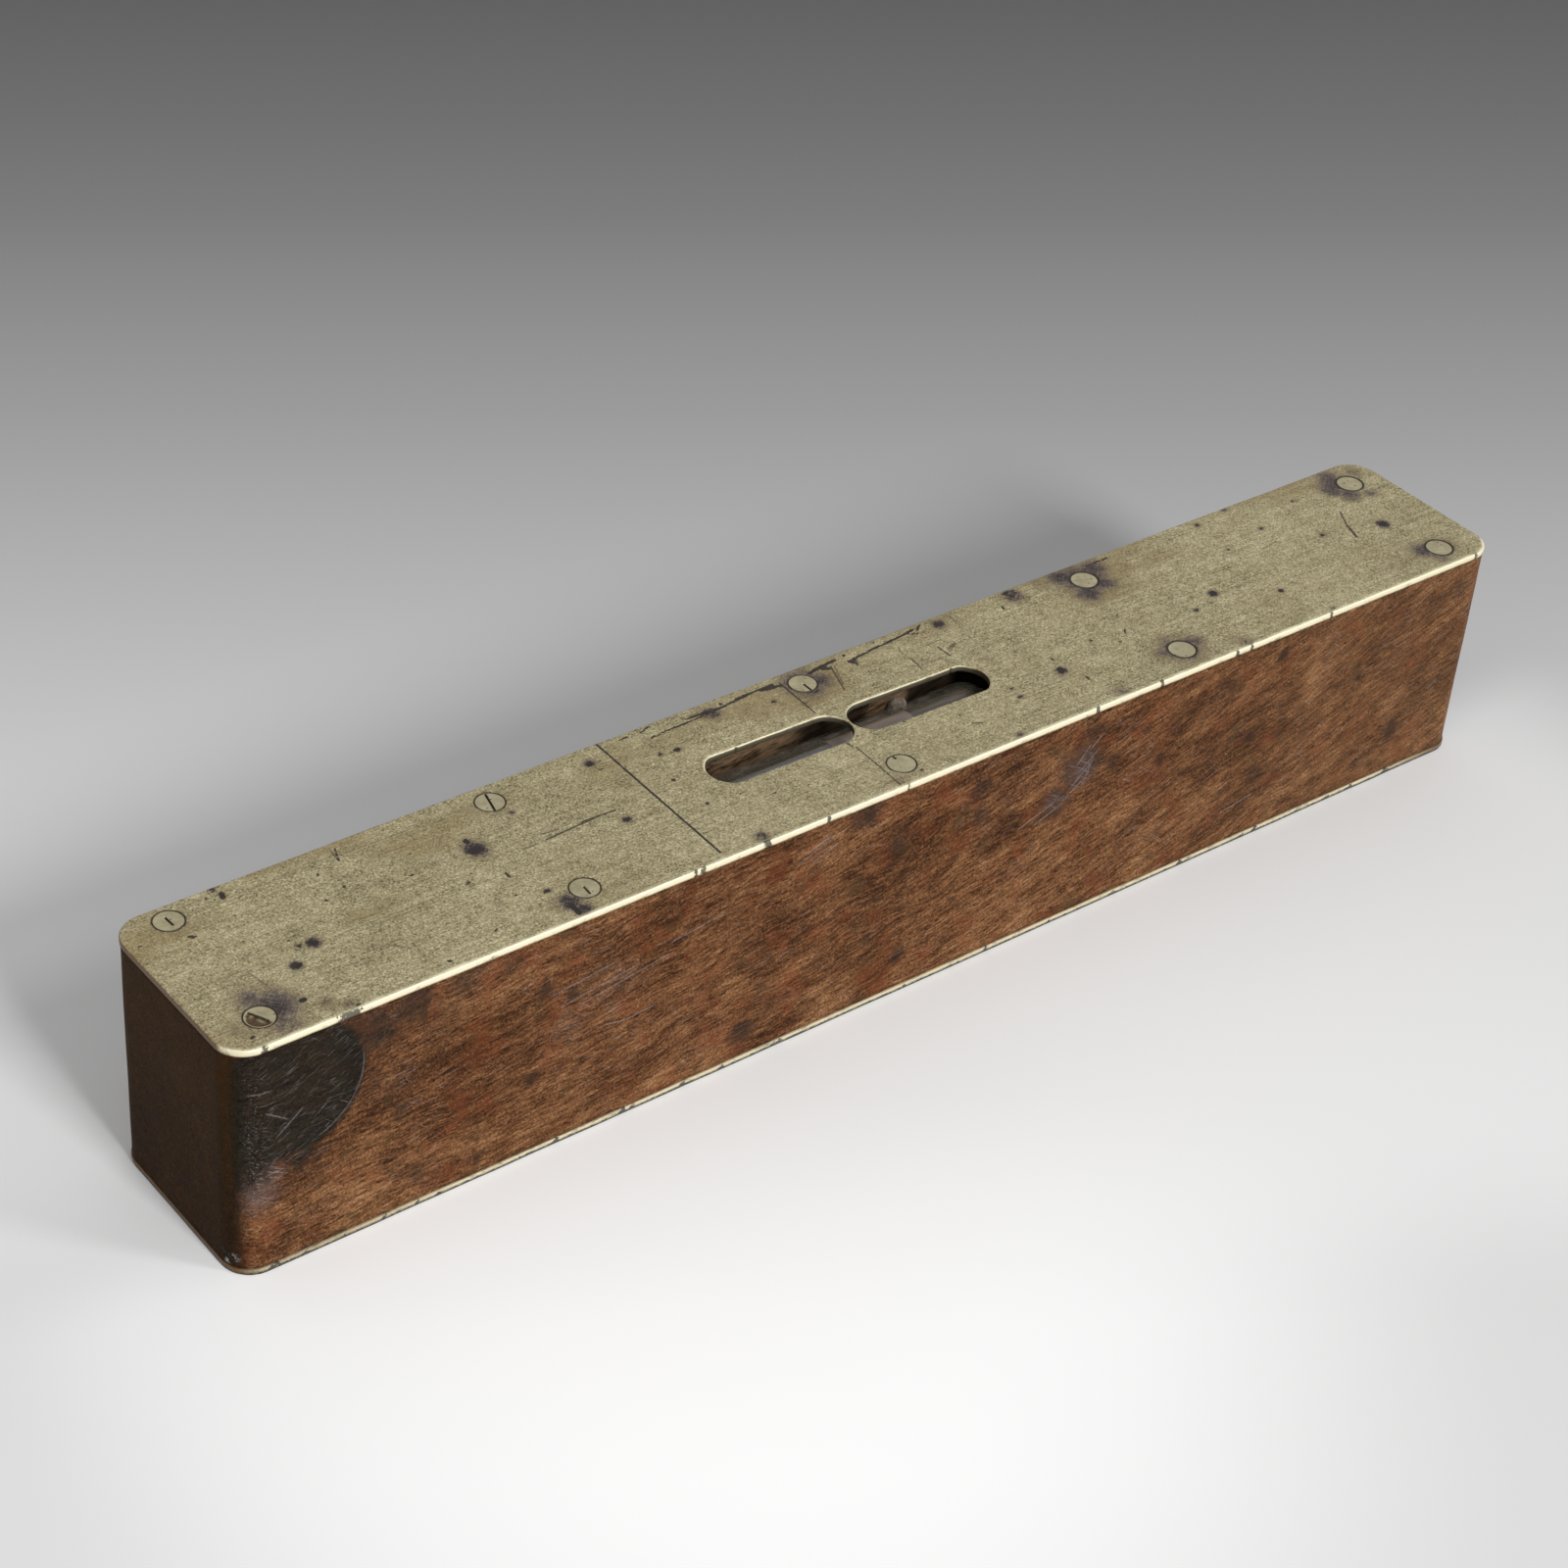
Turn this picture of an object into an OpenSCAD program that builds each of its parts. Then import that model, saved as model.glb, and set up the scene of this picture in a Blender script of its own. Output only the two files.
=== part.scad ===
// Bench spirit level: a hardwood stock between two brass plates, with a glass
// vial bedded in plaster under a two-slot sight window in the top plate.
// Millimetres, +Z up, +X along the level, origin at the middle of the sole face.

/* [Stock] */
// Length of the level over the stock and both plates
level_l = 305; // [260:1:420]
// Width of the level over the stock and both plates
level_w = 42.2; // [38:0.2:60]
// Height of the level from the sole face to the top face
level_h = 50.8; // [44:0.2:80]
// Radius of the four upright corners of the stock and the plates
corner_r = 6; // [2:0.5:9]

/* [Plates] */
// Thickness of the top plate and of the sole plate
plate_t = 1.25; // [0.9:0.05:1.4]
// Length of the middle stretch of the top plate, which holds the window
middle_plate_l = 90.8; // [84:0.2:96]

/* [Sight window] */
// Where the middle of the window lies along the level
window_x = -4.75; // [-10:0.05:10]
// How far the middle of the window lies behind the centre line
window_y = 0.8; // [-1:0.1:1]
// How far the window, filed out by hand, is turned out of line with the level
window_turn = -1.2; // [-2:0.1:2]
// Length of each of the two slots
slot_l = 32.7; // [26:0.1:34]
// Width of each slot
slot_w = 9.4; // [7:0.1:10.4]
// Metal left between the two slots where they come closest
slot_gap = 0.5; // [0.3:0.1:4]
// Radius of the drilled hole that ends each slot on the outside
slot_end_r = 5.2; // [5.2:0.1:6.5]

/* [Screws] */
// Diameter of the screw heads, filed flush with the plate
head_d = 5.6; // [5:0.1:6.4]
// Diameter of the screw shanks, over the thread
shank_d = 2.85; // [2.4:0.05:3.2]
// Length of the screws under the face of the plate
screw_l = 16; // [12:0.5:18]
// Gap between the rim of a head and its countersink
head_gap = 0.12; // [0.05:0.01:0.2]
// From each end of the level to the nearest pair of screws
screw_inset = 9.9; // [8:0.1:14]
// From the middle pair of screws to the pair on each side of it
screw_step = 72.2; // [55:0.1:80]
// From the front edge of the level to the front row of top screws
front_inset = 6.6; // [6:0.1:8]
// From the back edge of the level to the back row of top screws
back_inset = 5.4; // [5:0.1:8]
// From each long edge of the level to the sole screws along it
sole_inset = 6.6; // [6:0.1:8]

/* [Vial] */
// Outside diameter of the glass vial
vial_d = 12; // [10:0.1:13]
// Length of the vial between the ends of its two domes
vial_l = 70; // [60:0.5:74]
// Thickness of the glass
glass_t = 1.2; // [0.8:0.1:1.6]
// Radius to which the bore is ground lengthwise, so that the bubble rises to its middle
arch_r = 1000; // [700:50:3000]
// Gap between the top of the vial and the top plate
vial_drop = 1.05; // [0.6:0.05:2.5]
// Length of the bubble
bubble_l = 25; // [18:0.5:28]
// Depth of the bubble from its top to the surface of the spirit
bubble_h = 3.2; // [2:0.1:4]
// Where the middle of the bubble stands, from the middle of the window
bubble_x = 5.4; // [-8:0.1:8]

/* [Mortise and bed] */
// Length of the mortise that holds the vial
mortise_l = 77; // [76:0.5:90]
// Width of the mortise, which is also the diameter of its round ends
mortise_w = 15.6; // [14:0.1:18]
// Thickness of the plaster under the vial
bed_t = 3.5; // [2:0.1:6]
// How far the plaster stands above the axis of the vial
bed_rise = 0.6; // [-2:0.1:1]
// Radius of the dab of plaster on the far wall of the mortise
dab_r = 2; // [1.5:0.1:2.6]
// Where the dab stands along the level, from the middle of the window
dab_x = 17.8; // [-20:0.2:20]

/* [Hidden] */
// Running clearance between the bubble and what it slides in
bubble_gap = 0.25;
// Clearance between the bubble and the spirit around it at rest
spirit_gap = 0.1;
// Clearance between pieces that are set against each other
fit_gap = 0.03;
// How far a cutting shape runs past the face it cuts
over = 1;

// Wood screws: core of the thread, its pitch and the length of the gimlet point
core_share = 0.68;
thread_pitch = 1.15;
point_l = 2.3;
head_depth = (head_d - shank_d) / 2;
plain_l = screw_l * 0.36;
thread_turns = floor((screw_l - plain_l - point_l) / thread_pitch);

// The holes in the top plate were drilled by eye: how far each one has wandered
// from its place, front then back, from the left-hand pair to the right-hand one.
wander = [
    [-0.2, 0.6], [-0.1, 1.1],
    [0, 0.3], [0.1, 0.4],
    [-0.2, -0.4], [0.4, 0.5],
    [0.2, 0], [0.6, -0.4],
    [-1.2, -0.4], [1.3, -1.7]];

// What the file has left of the driver's slot in each top screw, in the same
// order: its length, 0 where it is gone, how it is turned, and where along
// itself its middle lies from the middle of the head.
whole = head_d * 2;
slot_left = [4.2, 2.8, 2.5, whole, 1.2, 2.7, 0, 0, 0, 0];
slot_turn = [118, 93, 85, 76, 90, 90, 0, 0, 0, 0];
slot_shift = [0.4, 0, -0.6, 0, 2.4, -1.4, 0, 0, 0, 0];
driver_w = 0.5;
driver_depth = 0.35;

// The slots of the sole screws stand as they came to rest, each turned this
// much further than the one before.
sole_turn = 20;

// Heights
top_z = level_h;
stock_top = level_h - plate_t;
vial_r = vial_d / 2;
vial_z = stock_top - vial_drop - vial_r;
bed_floor = vial_z - vial_r - bed_t;
bed_top = vial_z + bed_rise;

// The middle stretch of the top plate is set out from the window.
middle_plate_from = window_x - middle_plate_l / 2;
middle_plate_to = window_x + middle_plate_l / 2;

// Bore of the vial, at its middle, and the domes that close it
bore_r = vial_r - glass_t;
bore_half = (vial_l - vial_d) / 2;
nib_r = 1.3;
nib_l = 1.6;
bubble_arch = 250;
spirit_z = vial_z + bore_r - bubble_gap - bubble_h;

// Curves that follow a rule are cut into this many stretches
barrel_steps = 12;
dome_steps = 6;

screws = 10;

$fn = 64;

brass = [0.69, 0.66, 0.48];
worn_brass = [0.76, 0.73, 0.56];
walnut = [0.40, 0.23, 0.12];
plaster = [0.72, 0.68, 0.62];

// The distance along the level of each pair of screws. The middle pairs are
// stepped off from the window, and the end pairs are set in from the ends.
function column_x(c) =
    c == 0 ? -level_l / 2 + screw_inset :
    c == 4 ? level_l / 2 - screw_inset :
    window_x + (c - 2) * screw_step;

// Screw i stands in pair i/2, in the front row when i is even.
function screw_x(i) = column_x(floor(i / 2));
function top_screw_y(i) = i % 2 == 0 ? front_inset - level_w / 2 : level_w / 2 - back_inset;
function sole_screw_y(i) = (i % 2 == 0 ? -1 : 1) * (level_w / 2 - sole_inset);
function top_screw_at(i) = [screw_x(i), top_screw_y(i), top_z] + [wander[i].x, wander[i].y, 0];
function sole_screw_at(i) = [screw_x(i), sole_screw_y(i), 0];

// The radius, x along the axis, of a bore that is ground to an arch.
function barrel_r(x, r, arch) = r - arch + sqrt(arch * arch - x * x);

// Half the outline of a barrel with domed ends: radius against axial place.
function barrel_outline(half, r, arch, dome) =
    let (end_r = barrel_r(half, r, arch))
    concat(
        [for (k = [0 : dome_steps])
            let (a = 90 * k / dome_steps)
            [end_r * sin(a), -half - dome * cos(a)]],
        [for (k = [1 : barrel_steps - 1])
            let (x = -half + 2 * half * k / barrel_steps)
            [barrel_r(x, r, arch), x]],
        [for (k = [dome_steps : -1 : 0])
            let (a = 90 * k / dome_steps)
            [end_r * sin(a), half + dome * cos(a)]]);

// The turned outline of a wood screw, from the face of its head down to its point.
function screw_outline() =
    let (r = shank_d / 2, core = r * core_share, foot = plain_l + thread_turns * thread_pitch)
    concat(
        [[0, 0], [head_d / 2, 0], [r, -head_depth], [r, -plain_l]],
        [for (k = [0 : thread_turns - 1], p = [[0.15, core], [0.6, core], [0.9, r], [1, r]])
            [p[1], -plain_l - (k + p[0]) * thread_pitch]],
        [[core, -foot - 0.2], [0, -foot - point_l]]);

// A rounded rectangle, made of true arcs.
module rounded(l, w, r) {
    square([l - 2 * r, w], center = true);
    square([l, w - 2 * r], center = true);
    for (x = [-1, 1], y = [-1, 1])
        translate([x * (l / 2 - r), y * (w / 2 - r)]) circle(r);
}

// A slot with round ends, its middle at the origin.
module stadium(l, w) {
    square([l - w, w], center = true);
    for (x = [-1, 1]) translate([x * (l - w) / 2, 0]) circle(w / 2);
}

// One sight slot, to the right of the bar: round towards the bar, with a flatter
// curve at its outer end where a larger drill came down.
module sight_slot() {
    r = slot_w / 2;
    inner_x = slot_gap / 2 + r;
    outer_x = slot_gap / 2 + slot_l - slot_end_r;
    translate([inner_x, 0]) circle(r);
    translate([inner_x, -r]) square([outer_x - inner_x, slot_w]);
    intersection() {
        translate([outer_x, 0]) circle(slot_end_r);
        translate([outer_x - slot_end_r, -r]) square([2 * slot_end_r, slot_w]);
    }
}

// Both sight slots, with the bar between them.
module sight_window() {
    translate([window_x, window_y])
        for (turn = [0, 180]) rotate(turn + window_turn) sight_slot();
}

// The room that a screw needs: its countersink and its pilot hole.
module screw_room() {
    gap_depth = head_depth + head_gap;
    translate([0, 0, -gap_depth])
        cylinder(h = gap_depth, d1 = shank_d, d2 = head_d + 2 * head_gap);
    cylinder(h = over, d = head_d + 2 * head_gap);
    translate([0, 0, -screw_l - head_gap]) cylinder(h = screw_l, d = shank_d + 2 * fit_gap);
}

module top_screw_rooms() {
    for (i = [0 : screws - 1]) translate(top_screw_at(i)) screw_room();
}

module sole_screw_rooms() {
    for (i = [0 : screws - 1]) translate(sole_screw_at(i)) rotate([180, 0, 0]) screw_room();
}

// The mortise, from its floor up through the top of the stock.
module mortise_room(shrink = 0, height = stock_top - bed_floor + over) {
    translate([window_x, window_y, bed_floor])
        linear_extrude(height) stadium(mortise_l - 2 * shrink, mortise_w - 2 * shrink);
}

// A solid of revolution along X, at the vial's place.
module on_vial_axis() {
    translate([window_x, window_y, vial_z]) rotate([0, 90, 0]) children();
}

// The outside of the vial: a tube with domed ends and the sealed nib.
module vial_outside(grow = 0) {
    on_vial_axis() {
        cylinder(h = vial_l - vial_d, r = vial_r + grow, center = true);
        for (s = [-1, 1])
            translate([0, 0, s * (vial_l - vial_d) / 2]) sphere(vial_r + grow);
        translate([0, 0, -vial_l / 2 - nib_l])
            cylinder(h = nib_l + glass_t, r = nib_r + grow);
    }
}

// The bore of the vial, ground to an arch and closed by domes.
module vial_bore(shrink = 0) {
    on_vial_axis()
        rotate_extrude()
            polygon(barrel_outline(bore_half, bore_r - shrink, arch_r, bore_r - shrink));
}

// The bubble: the top of the bore, down to the surface of the spirit. Its ends
// are round from above, and its top falls away a little towards them.
module bubble_shape(grow = 0) {
    r = bore_r - bubble_gap;
    drop = r - bubble_h;
    chord = 2 * sqrt(r * r - drop * drop);
    translate([window_x + bubble_x, window_y, 0])
        intersection() {
            translate([0, 0, vial_z])
                rotate([0, 90, 0])
                    rotate_extrude()
                        polygon(barrel_outline(bubble_l / 2, r + grow, bubble_arch, r));
            translate([0, 0, spirit_z - grow])
                linear_extrude(bubble_h + 2 * grow + over)
                    stadium(bubble_l + 2 * grow, chord + 2 * grow);
        }
}

// The wooden stock, with the mortise and the pilot holes.
module stock() {
    color(walnut) difference() {
        translate([0, 0, plate_t])
            linear_extrude(stock_top - plate_t) rounded(level_l, level_w, corner_r);
        mortise_room();
        top_screw_rooms();
        sole_screw_rooms();
    }
}

// One stretch of the brass plate on top, from one place along the level to
// another, with its share of the sight window and of the countersunk holes.
module top_plate(from_x, to_x) {
    color(brass) difference() {
        translate([0, 0, stock_top])
            linear_extrude(plate_t)
                intersection() {
                    rounded(level_l, level_w, corner_r);
                    translate([from_x, -level_w]) square([to_x - from_x, 2 * level_w]);
                }
        translate([0, 0, stock_top - over])
            linear_extrude(plate_t + 2 * over) sight_window();
        top_screw_rooms();
    }
}

// The brass sole.
module sole_plate() {
    color(brass) difference() {
        linear_extrude(plate_t) rounded(level_l, level_w, corner_r);
        sole_screw_rooms();
    }
}

// A countersunk wood screw, its head at the origin and its point downwards.
module wood_screw() {
    rotate_extrude() polygon(screw_outline());
}

// Screw i of the top plate, with what the file has left of its slot.
module top_screw(i) {
    color(worn_brass) translate(top_screw_at(i)) difference() {
        wood_screw();
        if (slot_left[i] > 0)
            rotate(slot_turn[i])
                translate([slot_shift[i], 0, -driver_depth + over / 2])
                    cube([slot_left[i], driver_w, over], center = true);
    }
}

// Screw i of the sole, with its whole slot.
module sole_screw(i) {
    color(worn_brass) translate(sole_screw_at(i)) rotate([180, 0, 0])
        difference() {
            wood_screw();
            rotate(sole_turn * (i + 1))
                translate([0, 0, -driver_depth + over / 2])
                    cube([whole, driver_w, over], center = true);
        }
}

// The glass vial.
module vial_glass() {
    color([0.78, 0.84, 0.80, 0.5]) difference() {
        vial_outside();
        vial_bore();
    }
}

// The spirit, which fills the bore around the bubble.
module spirit() {
    color([0.74, 0.76, 0.60, 0.6]) difference() {
        vial_bore(fit_gap);
        bubble_shape(spirit_gap);
    }
}

module bubble() {
    color([0.92, 0.94, 0.95, 0.4]) bubble_shape();
}

// The plaster that beds the vial, with the dab that stands up on its far side.
module plaster_bed() {
    color(plaster) difference() {
        union() {
            mortise_room(fit_gap, bed_top - bed_floor);
            intersection() {
                mortise_room(fit_gap, stock_top - bed_floor - fit_gap);
                translate([window_x + dab_x, window_y + mortise_w / 2 - dab_r / 3, bed_top])
                    translate([0, 0, dab_r / 2]) sphere(dab_r);
            }
        }
        vial_outside(fit_gap);
    }
}

stock();
top_plate(-level_l, middle_plate_from);  // top_plate_left
top_plate(middle_plate_from, middle_plate_to);  // top_plate_middle
top_plate(middle_plate_to, level_l);  // top_plate_right
sole_plate();
vial_glass();
spirit();
bubble();
plaster_bed();
for (i = [0 : screws - 1]) {
    top_screw(i);
    sole_screw(i);
}
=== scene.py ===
import bpy
import math
import numpy as np
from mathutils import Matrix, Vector


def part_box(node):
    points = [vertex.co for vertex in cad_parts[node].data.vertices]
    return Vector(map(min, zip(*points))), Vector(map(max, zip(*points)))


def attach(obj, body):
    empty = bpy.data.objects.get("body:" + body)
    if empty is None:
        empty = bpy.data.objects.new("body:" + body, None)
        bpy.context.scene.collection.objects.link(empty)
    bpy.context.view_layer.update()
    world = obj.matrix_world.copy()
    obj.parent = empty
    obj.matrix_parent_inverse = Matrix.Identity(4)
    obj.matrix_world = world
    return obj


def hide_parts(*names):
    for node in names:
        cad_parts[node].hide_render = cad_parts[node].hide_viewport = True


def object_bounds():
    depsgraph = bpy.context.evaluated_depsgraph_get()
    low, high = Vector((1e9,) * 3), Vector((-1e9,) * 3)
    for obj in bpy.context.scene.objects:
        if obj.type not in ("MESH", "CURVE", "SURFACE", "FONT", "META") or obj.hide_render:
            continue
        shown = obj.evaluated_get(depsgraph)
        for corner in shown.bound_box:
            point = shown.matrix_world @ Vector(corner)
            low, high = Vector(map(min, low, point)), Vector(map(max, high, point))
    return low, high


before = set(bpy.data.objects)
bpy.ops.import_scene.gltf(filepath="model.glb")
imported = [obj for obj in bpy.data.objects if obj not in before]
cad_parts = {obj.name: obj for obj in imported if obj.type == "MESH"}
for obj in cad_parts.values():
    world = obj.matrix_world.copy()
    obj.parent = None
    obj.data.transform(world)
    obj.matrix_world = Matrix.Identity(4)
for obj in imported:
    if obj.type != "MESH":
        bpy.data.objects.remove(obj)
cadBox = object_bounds()
mm = 0.001
print("frame loaded")


def boxOf(node):
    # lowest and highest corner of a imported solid, in millimetres
    return [np.array(corner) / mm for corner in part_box(node)]


# places that everything else is set out from
levelLow, levelHigh = [np.array(corner) / mm for corner in cadBox]
plateLow, plateHigh = boxOf("top_plate_middle")
soleLow, soleHigh = boxOf("sole_plate")
bedLow, bedHigh = boxOf("plaster_bed")
spiritLow, spiritHigh = boxOf("spirit")
glassLow, glassHigh = boxOf("vial_glass")
bubbleLow, bubbleHigh = boxOf("bubble")
levelSize = levelHigh - levelLow
windowMiddle = (bedLow + bedHigh) / 2      # the window, the mortise and the vial share this middle
vialHeight = (glassLow[2] + glassHigh[2]) / 2


dice = np.random.default_rng(7)
lattice = dice.uniform(-1, 1, (32, 32, 32))


def softNoise(x, y, z, size):
    # value noise: random numbers at the crossings of a cubic lattice of this size, eased between them
    x, y, z = np.broadcast_arrays(np.asarray(x, float), np.asarray(y, float), np.asarray(z, float))
    cell, ease = [], []
    for along in (x, y, z):
        whole = np.floor(along / size)
        part = along / size - whole
        cell.append(whole.astype(int) % 32)
        ease.append(part * part * (3 - 2 * part))
    total = 0
    for corner in range(8):
        i, j, k = corner & 1, corner >> 1 & 1, corner >> 2 & 1
        share = np.where(i, ease[0], 1 - ease[0]) * np.where(j, ease[1], 1 - ease[1])
        share = share * np.where(k, ease[2], 1 - ease[2])
        total = total + share * lattice[(cell[0] + i) % 32, (cell[1] + j) % 32, (cell[2] + k) % 32]
    return total


def ramp(value, low, high):
    # 0 below low, 1 above high and an eased curve between them
    part = np.clip((value - low) / (high - low), 0, 1)
    return part * part * (3 - 2 * part)


def blot(x, y, spots):
    # a soft round spot for each (x, y, radius, strength), the strongest one winning
    total = np.zeros(np.broadcast(x, y).shape)
    for spotX, spotY, radius, strength in spots:
        reach = np.hypot(x - spotX, y - spotY) / radius
        total = np.maximum(total, strength * np.exp(-reach ** 2))
    return total


def addPiece(name, verts, faces, material, body, nodes, marks=None, sharp=35):
    mesh = bpy.data.meshes.new(name)
    mesh.from_pydata((np.asarray(verts, float) * mm).tolist(), [], faces)
    for label, values in (marks or {}).items():
        layer = mesh.attributes.new(label, "FLOAT", "POINT")
        layer.data.foreach_set("value", np.asarray(values, np.float32))
    mesh.update()
    mesh.shade_smooth()
    mesh.set_sharp_from_angle(angle=math.radians(sharp))
    mesh.materials.append(material)
    piece = bpy.data.objects.new(name, mesh)
    link(piece)
    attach(piece, body)
    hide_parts(*nodes)


def link(thing):
    bpy.context.scene.collection.objects.link(thing)


def loft(rings):
    # rings (m, n, 3) of closed loops, one after another along the surface, joined by quads. The first and last loops
    # are flattened onto a line, where point i lies beside point n - i, and are zipped up along it.
    m, n, _ = rings.shape
    row = np.arange(m - 1)[:, None] * n
    here, there = np.arange(n)[None, :], (np.arange(n)[None, :] + 1) % n
    quads = np.stack([row + here, row + there, row + n + there, row + n + here], -1).reshape(-1, 4)
    left, right = np.arange(0, n // 2), (n - np.arange(0, n // 2)) % n
    base, half = (m - 1) * n, n // 2
    zips = [np.stack([left[:-1], right[:-1], right[1:], left[1:]], -1)[1:],
            np.stack([left[:1] * 0, right[1:2], left[1:2]], -1),
            np.array([[half, half - 1, half + 1]]),
            np.stack([left[:-1], left[1:], right[1:], right[:-1]], -1)[1:] + base,
            np.stack([left[:1] * 0, left[1:2], right[1:2]], -1) + base,
            np.array([[half, half + 1, half - 1]]) + base]
    faces = quads.tolist()
    for group in zips:
        faces += group.tolist()
    return rings.reshape(-1, 3), faces


def closedPair(rows, cols):
    # faces of an upper and a lower rows by cols grid of points, joined by a wall along their edges
    grid = np.arange(rows * cols).reshape(rows, cols)
    base = rows * cols
    up = np.stack([grid[:-1, :-1], grid[1:, :-1], grid[1:, 1:], grid[:-1, 1:]], -1).reshape(-1, 4)
    edgeLoop = np.concatenate([grid[:, 0], grid[-1, 1:], grid[-2::-1, -1], grid[0, -2:0:-1]])
    after = np.roll(edgeLoop, -1)
    walls = np.stack([after, edgeLoop, edgeLoop + base, after + base], -1)
    return up.tolist() + (up[:, ::-1] + base).tolist() + walls.tolist()


def roundedLoop(length, width, radius, count):
    # count points at even steps round a rectangle with round corners, from its middle right side, anticlockwise;
    # it is symmetrical about the long axis
    flatX, flatY, arc = length / 2 - radius, width / 2 - radius, radius * math.pi / 2
    stops = np.cumsum([0, flatY, arc, 2 * flatX, arc, 2 * flatY, arc, 2 * flatX, arc, flatY])
    along = np.arange(count) / count * stops[-1]
    x, y, nx, ny = [np.zeros(count) for _ in range(4)]
    sides = [(1, 0, 0), (1, 1, 0), (0, 1, 0), (-1, 1, 90), (-1, 0, 180),
             (-1, -1, 180), (0, -1, 270), (1, -1, 270), (1, 0, 360)]
    for k, (sx, sy, turn) in enumerate(sides):
        pick = (along >= stops[k]) & (along < stops[k + 1])
        part = along[pick] - stops[k]
        if k in (1, 3, 5, 7):
            angle = math.radians(turn) + part / max(radius, 1e-9)
            x[pick], y[pick] = sx * flatX + radius * np.cos(angle), sy * flatY + radius * np.sin(angle)
            nx[pick], ny[pick] = np.cos(angle), np.sin(angle)
        elif k in (2, 6):
            x[pick] = (flatX - part) if k == 2 else (part - flatX)
            y[pick], ny[pick] = sy * width / 2, sy
        else:
            x[pick], nx[pick] = sx * length / 2, sx
            y[pick] = part if k == 0 else (flatY - part if k == 4 else part - flatY)
    return np.stack([x, y], -1), np.stack([nx, ny], -1)


class Wire:
    # one value of a material; arithmetic on it adds Math nodes
    def __init__(self, tree, socket=None):
        self.tree, self.socket = tree, socket

    def node(self, kind, settings=None, sockets=None, out=0):
        made = self.tree.nodes.new("ShaderNode" + kind)
        for name, value in (settings or {}).items():
            if name == "stops":
                band = made.color_ramp
                while len(band.elements) < len(value):
                    band.elements.new(0.5)
                for stop, (at, colour) in zip(band.elements, value):
                    stop.position = at
                    stop.color = tuple(colour) + (1,) * (4 - len(colour))
            else:
                setattr(made, name, value)
        for name, value in (sockets or {}).items():
            entry = made.inputs[name]
            if isinstance(value, Wire):
                self.tree.links.new(value.socket, entry)
            else:
                entry.default_value = value
        self.last = made
        return Wire(self.tree, made.outputs[out] if made.outputs else None)

    def sum(self, operation, first, second=0.0, clamp=False):
        return self.node("Math", {"operation": operation, "use_clamp": clamp}, {0: first, 1: second, 2: 0.0})

    def __add__(self, other): return self.sum("ADD", self, other)
    def __radd__(self, other): return self.sum("ADD", other, self)
    def __sub__(self, other): return self.sum("SUBTRACT", self, other)
    def __rsub__(self, other): return self.sum("SUBTRACT", other, self)
    def __mul__(self, other): return self.sum("MULTIPLY", self, other)
    def __rmul__(self, other): return self.sum("MULTIPLY", other, self)
    def __truediv__(self, other): return self.sum("DIVIDE", self, other)
    def __pow__(self, other): return self.sum("POWER", self, other)
    def __abs__(self): return self.sum("ABSOLUTE", self)

    def between(self, low, high, toLow=0.0, toHigh=1.0):
        # eased from toLow at low to toHigh at high, and level beyond them
        ends = {0: self, 1: low, 2: high, 3: toLow, 4: toHigh}
        return self.node("MapRange", {"interpolation_type": "SMOOTHSTEP"}, ends)

    def atMost(self, other): return self.sum("MINIMUM", self, other)
    def atLeast(self, other): return self.sum("MAXIMUM", self, other)
    def clamp(self): return self.sum("MULTIPLY", self, 1.0, clamp=True)

    def tint(self, first, second):
        # first colour where this value is 0, second where it is 1
        mixed = {0: self, 6: paint(first), 7: paint(second)}
        return self.node("Mix", {"data_type": "RGBA", "blend_type": "MIX", "clamp_factor": True}, mixed, out=2)

    def bands(self, *stops):
        return self.node("ValToRGB", {"stops": [(at, paint(colour)) for at, colour in stops]}, {0: self})

    def stretched(self, size, stretch, turn, shift):
        # this place in a turned and shifted frame, in steps of so many millimetres, stretched along its axes
        moved = {"Vector": self, "Rotation": [math.radians(a) for a in turn], "Location": shift}
        turned = self.node("Mapping", {"vector_type": "POINT"}, moved)
        return self.node("VectorMath", {"operation": "DIVIDE"}, {0: turned, 1: [size * s for s in stretch]})

    def noise(self, size, detail=3.0, rough=0.5, stretch=(1, 1, 1), turn=(0, 0, 0), twist=0.0, shift=(0, 0, 0)):
        # smooth noise with features this many millimetres across
        fixed = {"Vector": self.stretched(size, stretch, turn, shift), "Scale": 1.0, "Detail": detail,
                 "Roughness": rough, "Distortion": twist}
        return self.node("TexNoise", {"noise_dimensions": "3D"}, fixed)

    def hairs(self, long, thin, turn, low, high, shift=(0, 0, 0)):
        # straight hair lines in the plane of X and Y
        streaks = self.noise(1.0, 1, 0.3, stretch=(long, thin, 1), turn=(0, 0, turn), shift=shift)
        return streaks.between(low, high)

    def cells(self, size, shift=(0, 0, 0)):
        # distance to the nearest of scattered points, about this many millimetres apart
        fixed = {"Vector": self.stretched(size, (1, 1, 1), (0, 0, 0), shift), "Scale": 1.0, "Randomness": 1.0}
        return self.node("TexVoronoi", {"voronoi_dimensions": "3D"}, fixed)

    def mark(self, label):
        return self.node("Attribute", {"attribute_name": label}, out=2)

    def parts(self):
        # the three coordinates of a place, each as a value
        self.node("SeparateXYZ", None, {0: self})
        return [Wire(self.tree, s) for s in self.last.outputs]


def paint(colour):
    # 0 to 255 numbers as a screen shows them, turned to the linear values that shaders use
    if isinstance(colour, Wire):
        return colour
    level = np.array(colour, float) / 255
    return tuple(np.where(level <= 0.04045, level / 12.92, ((level + 0.055) / 1.055) ** 2.4)) + (1.0,)


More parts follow.
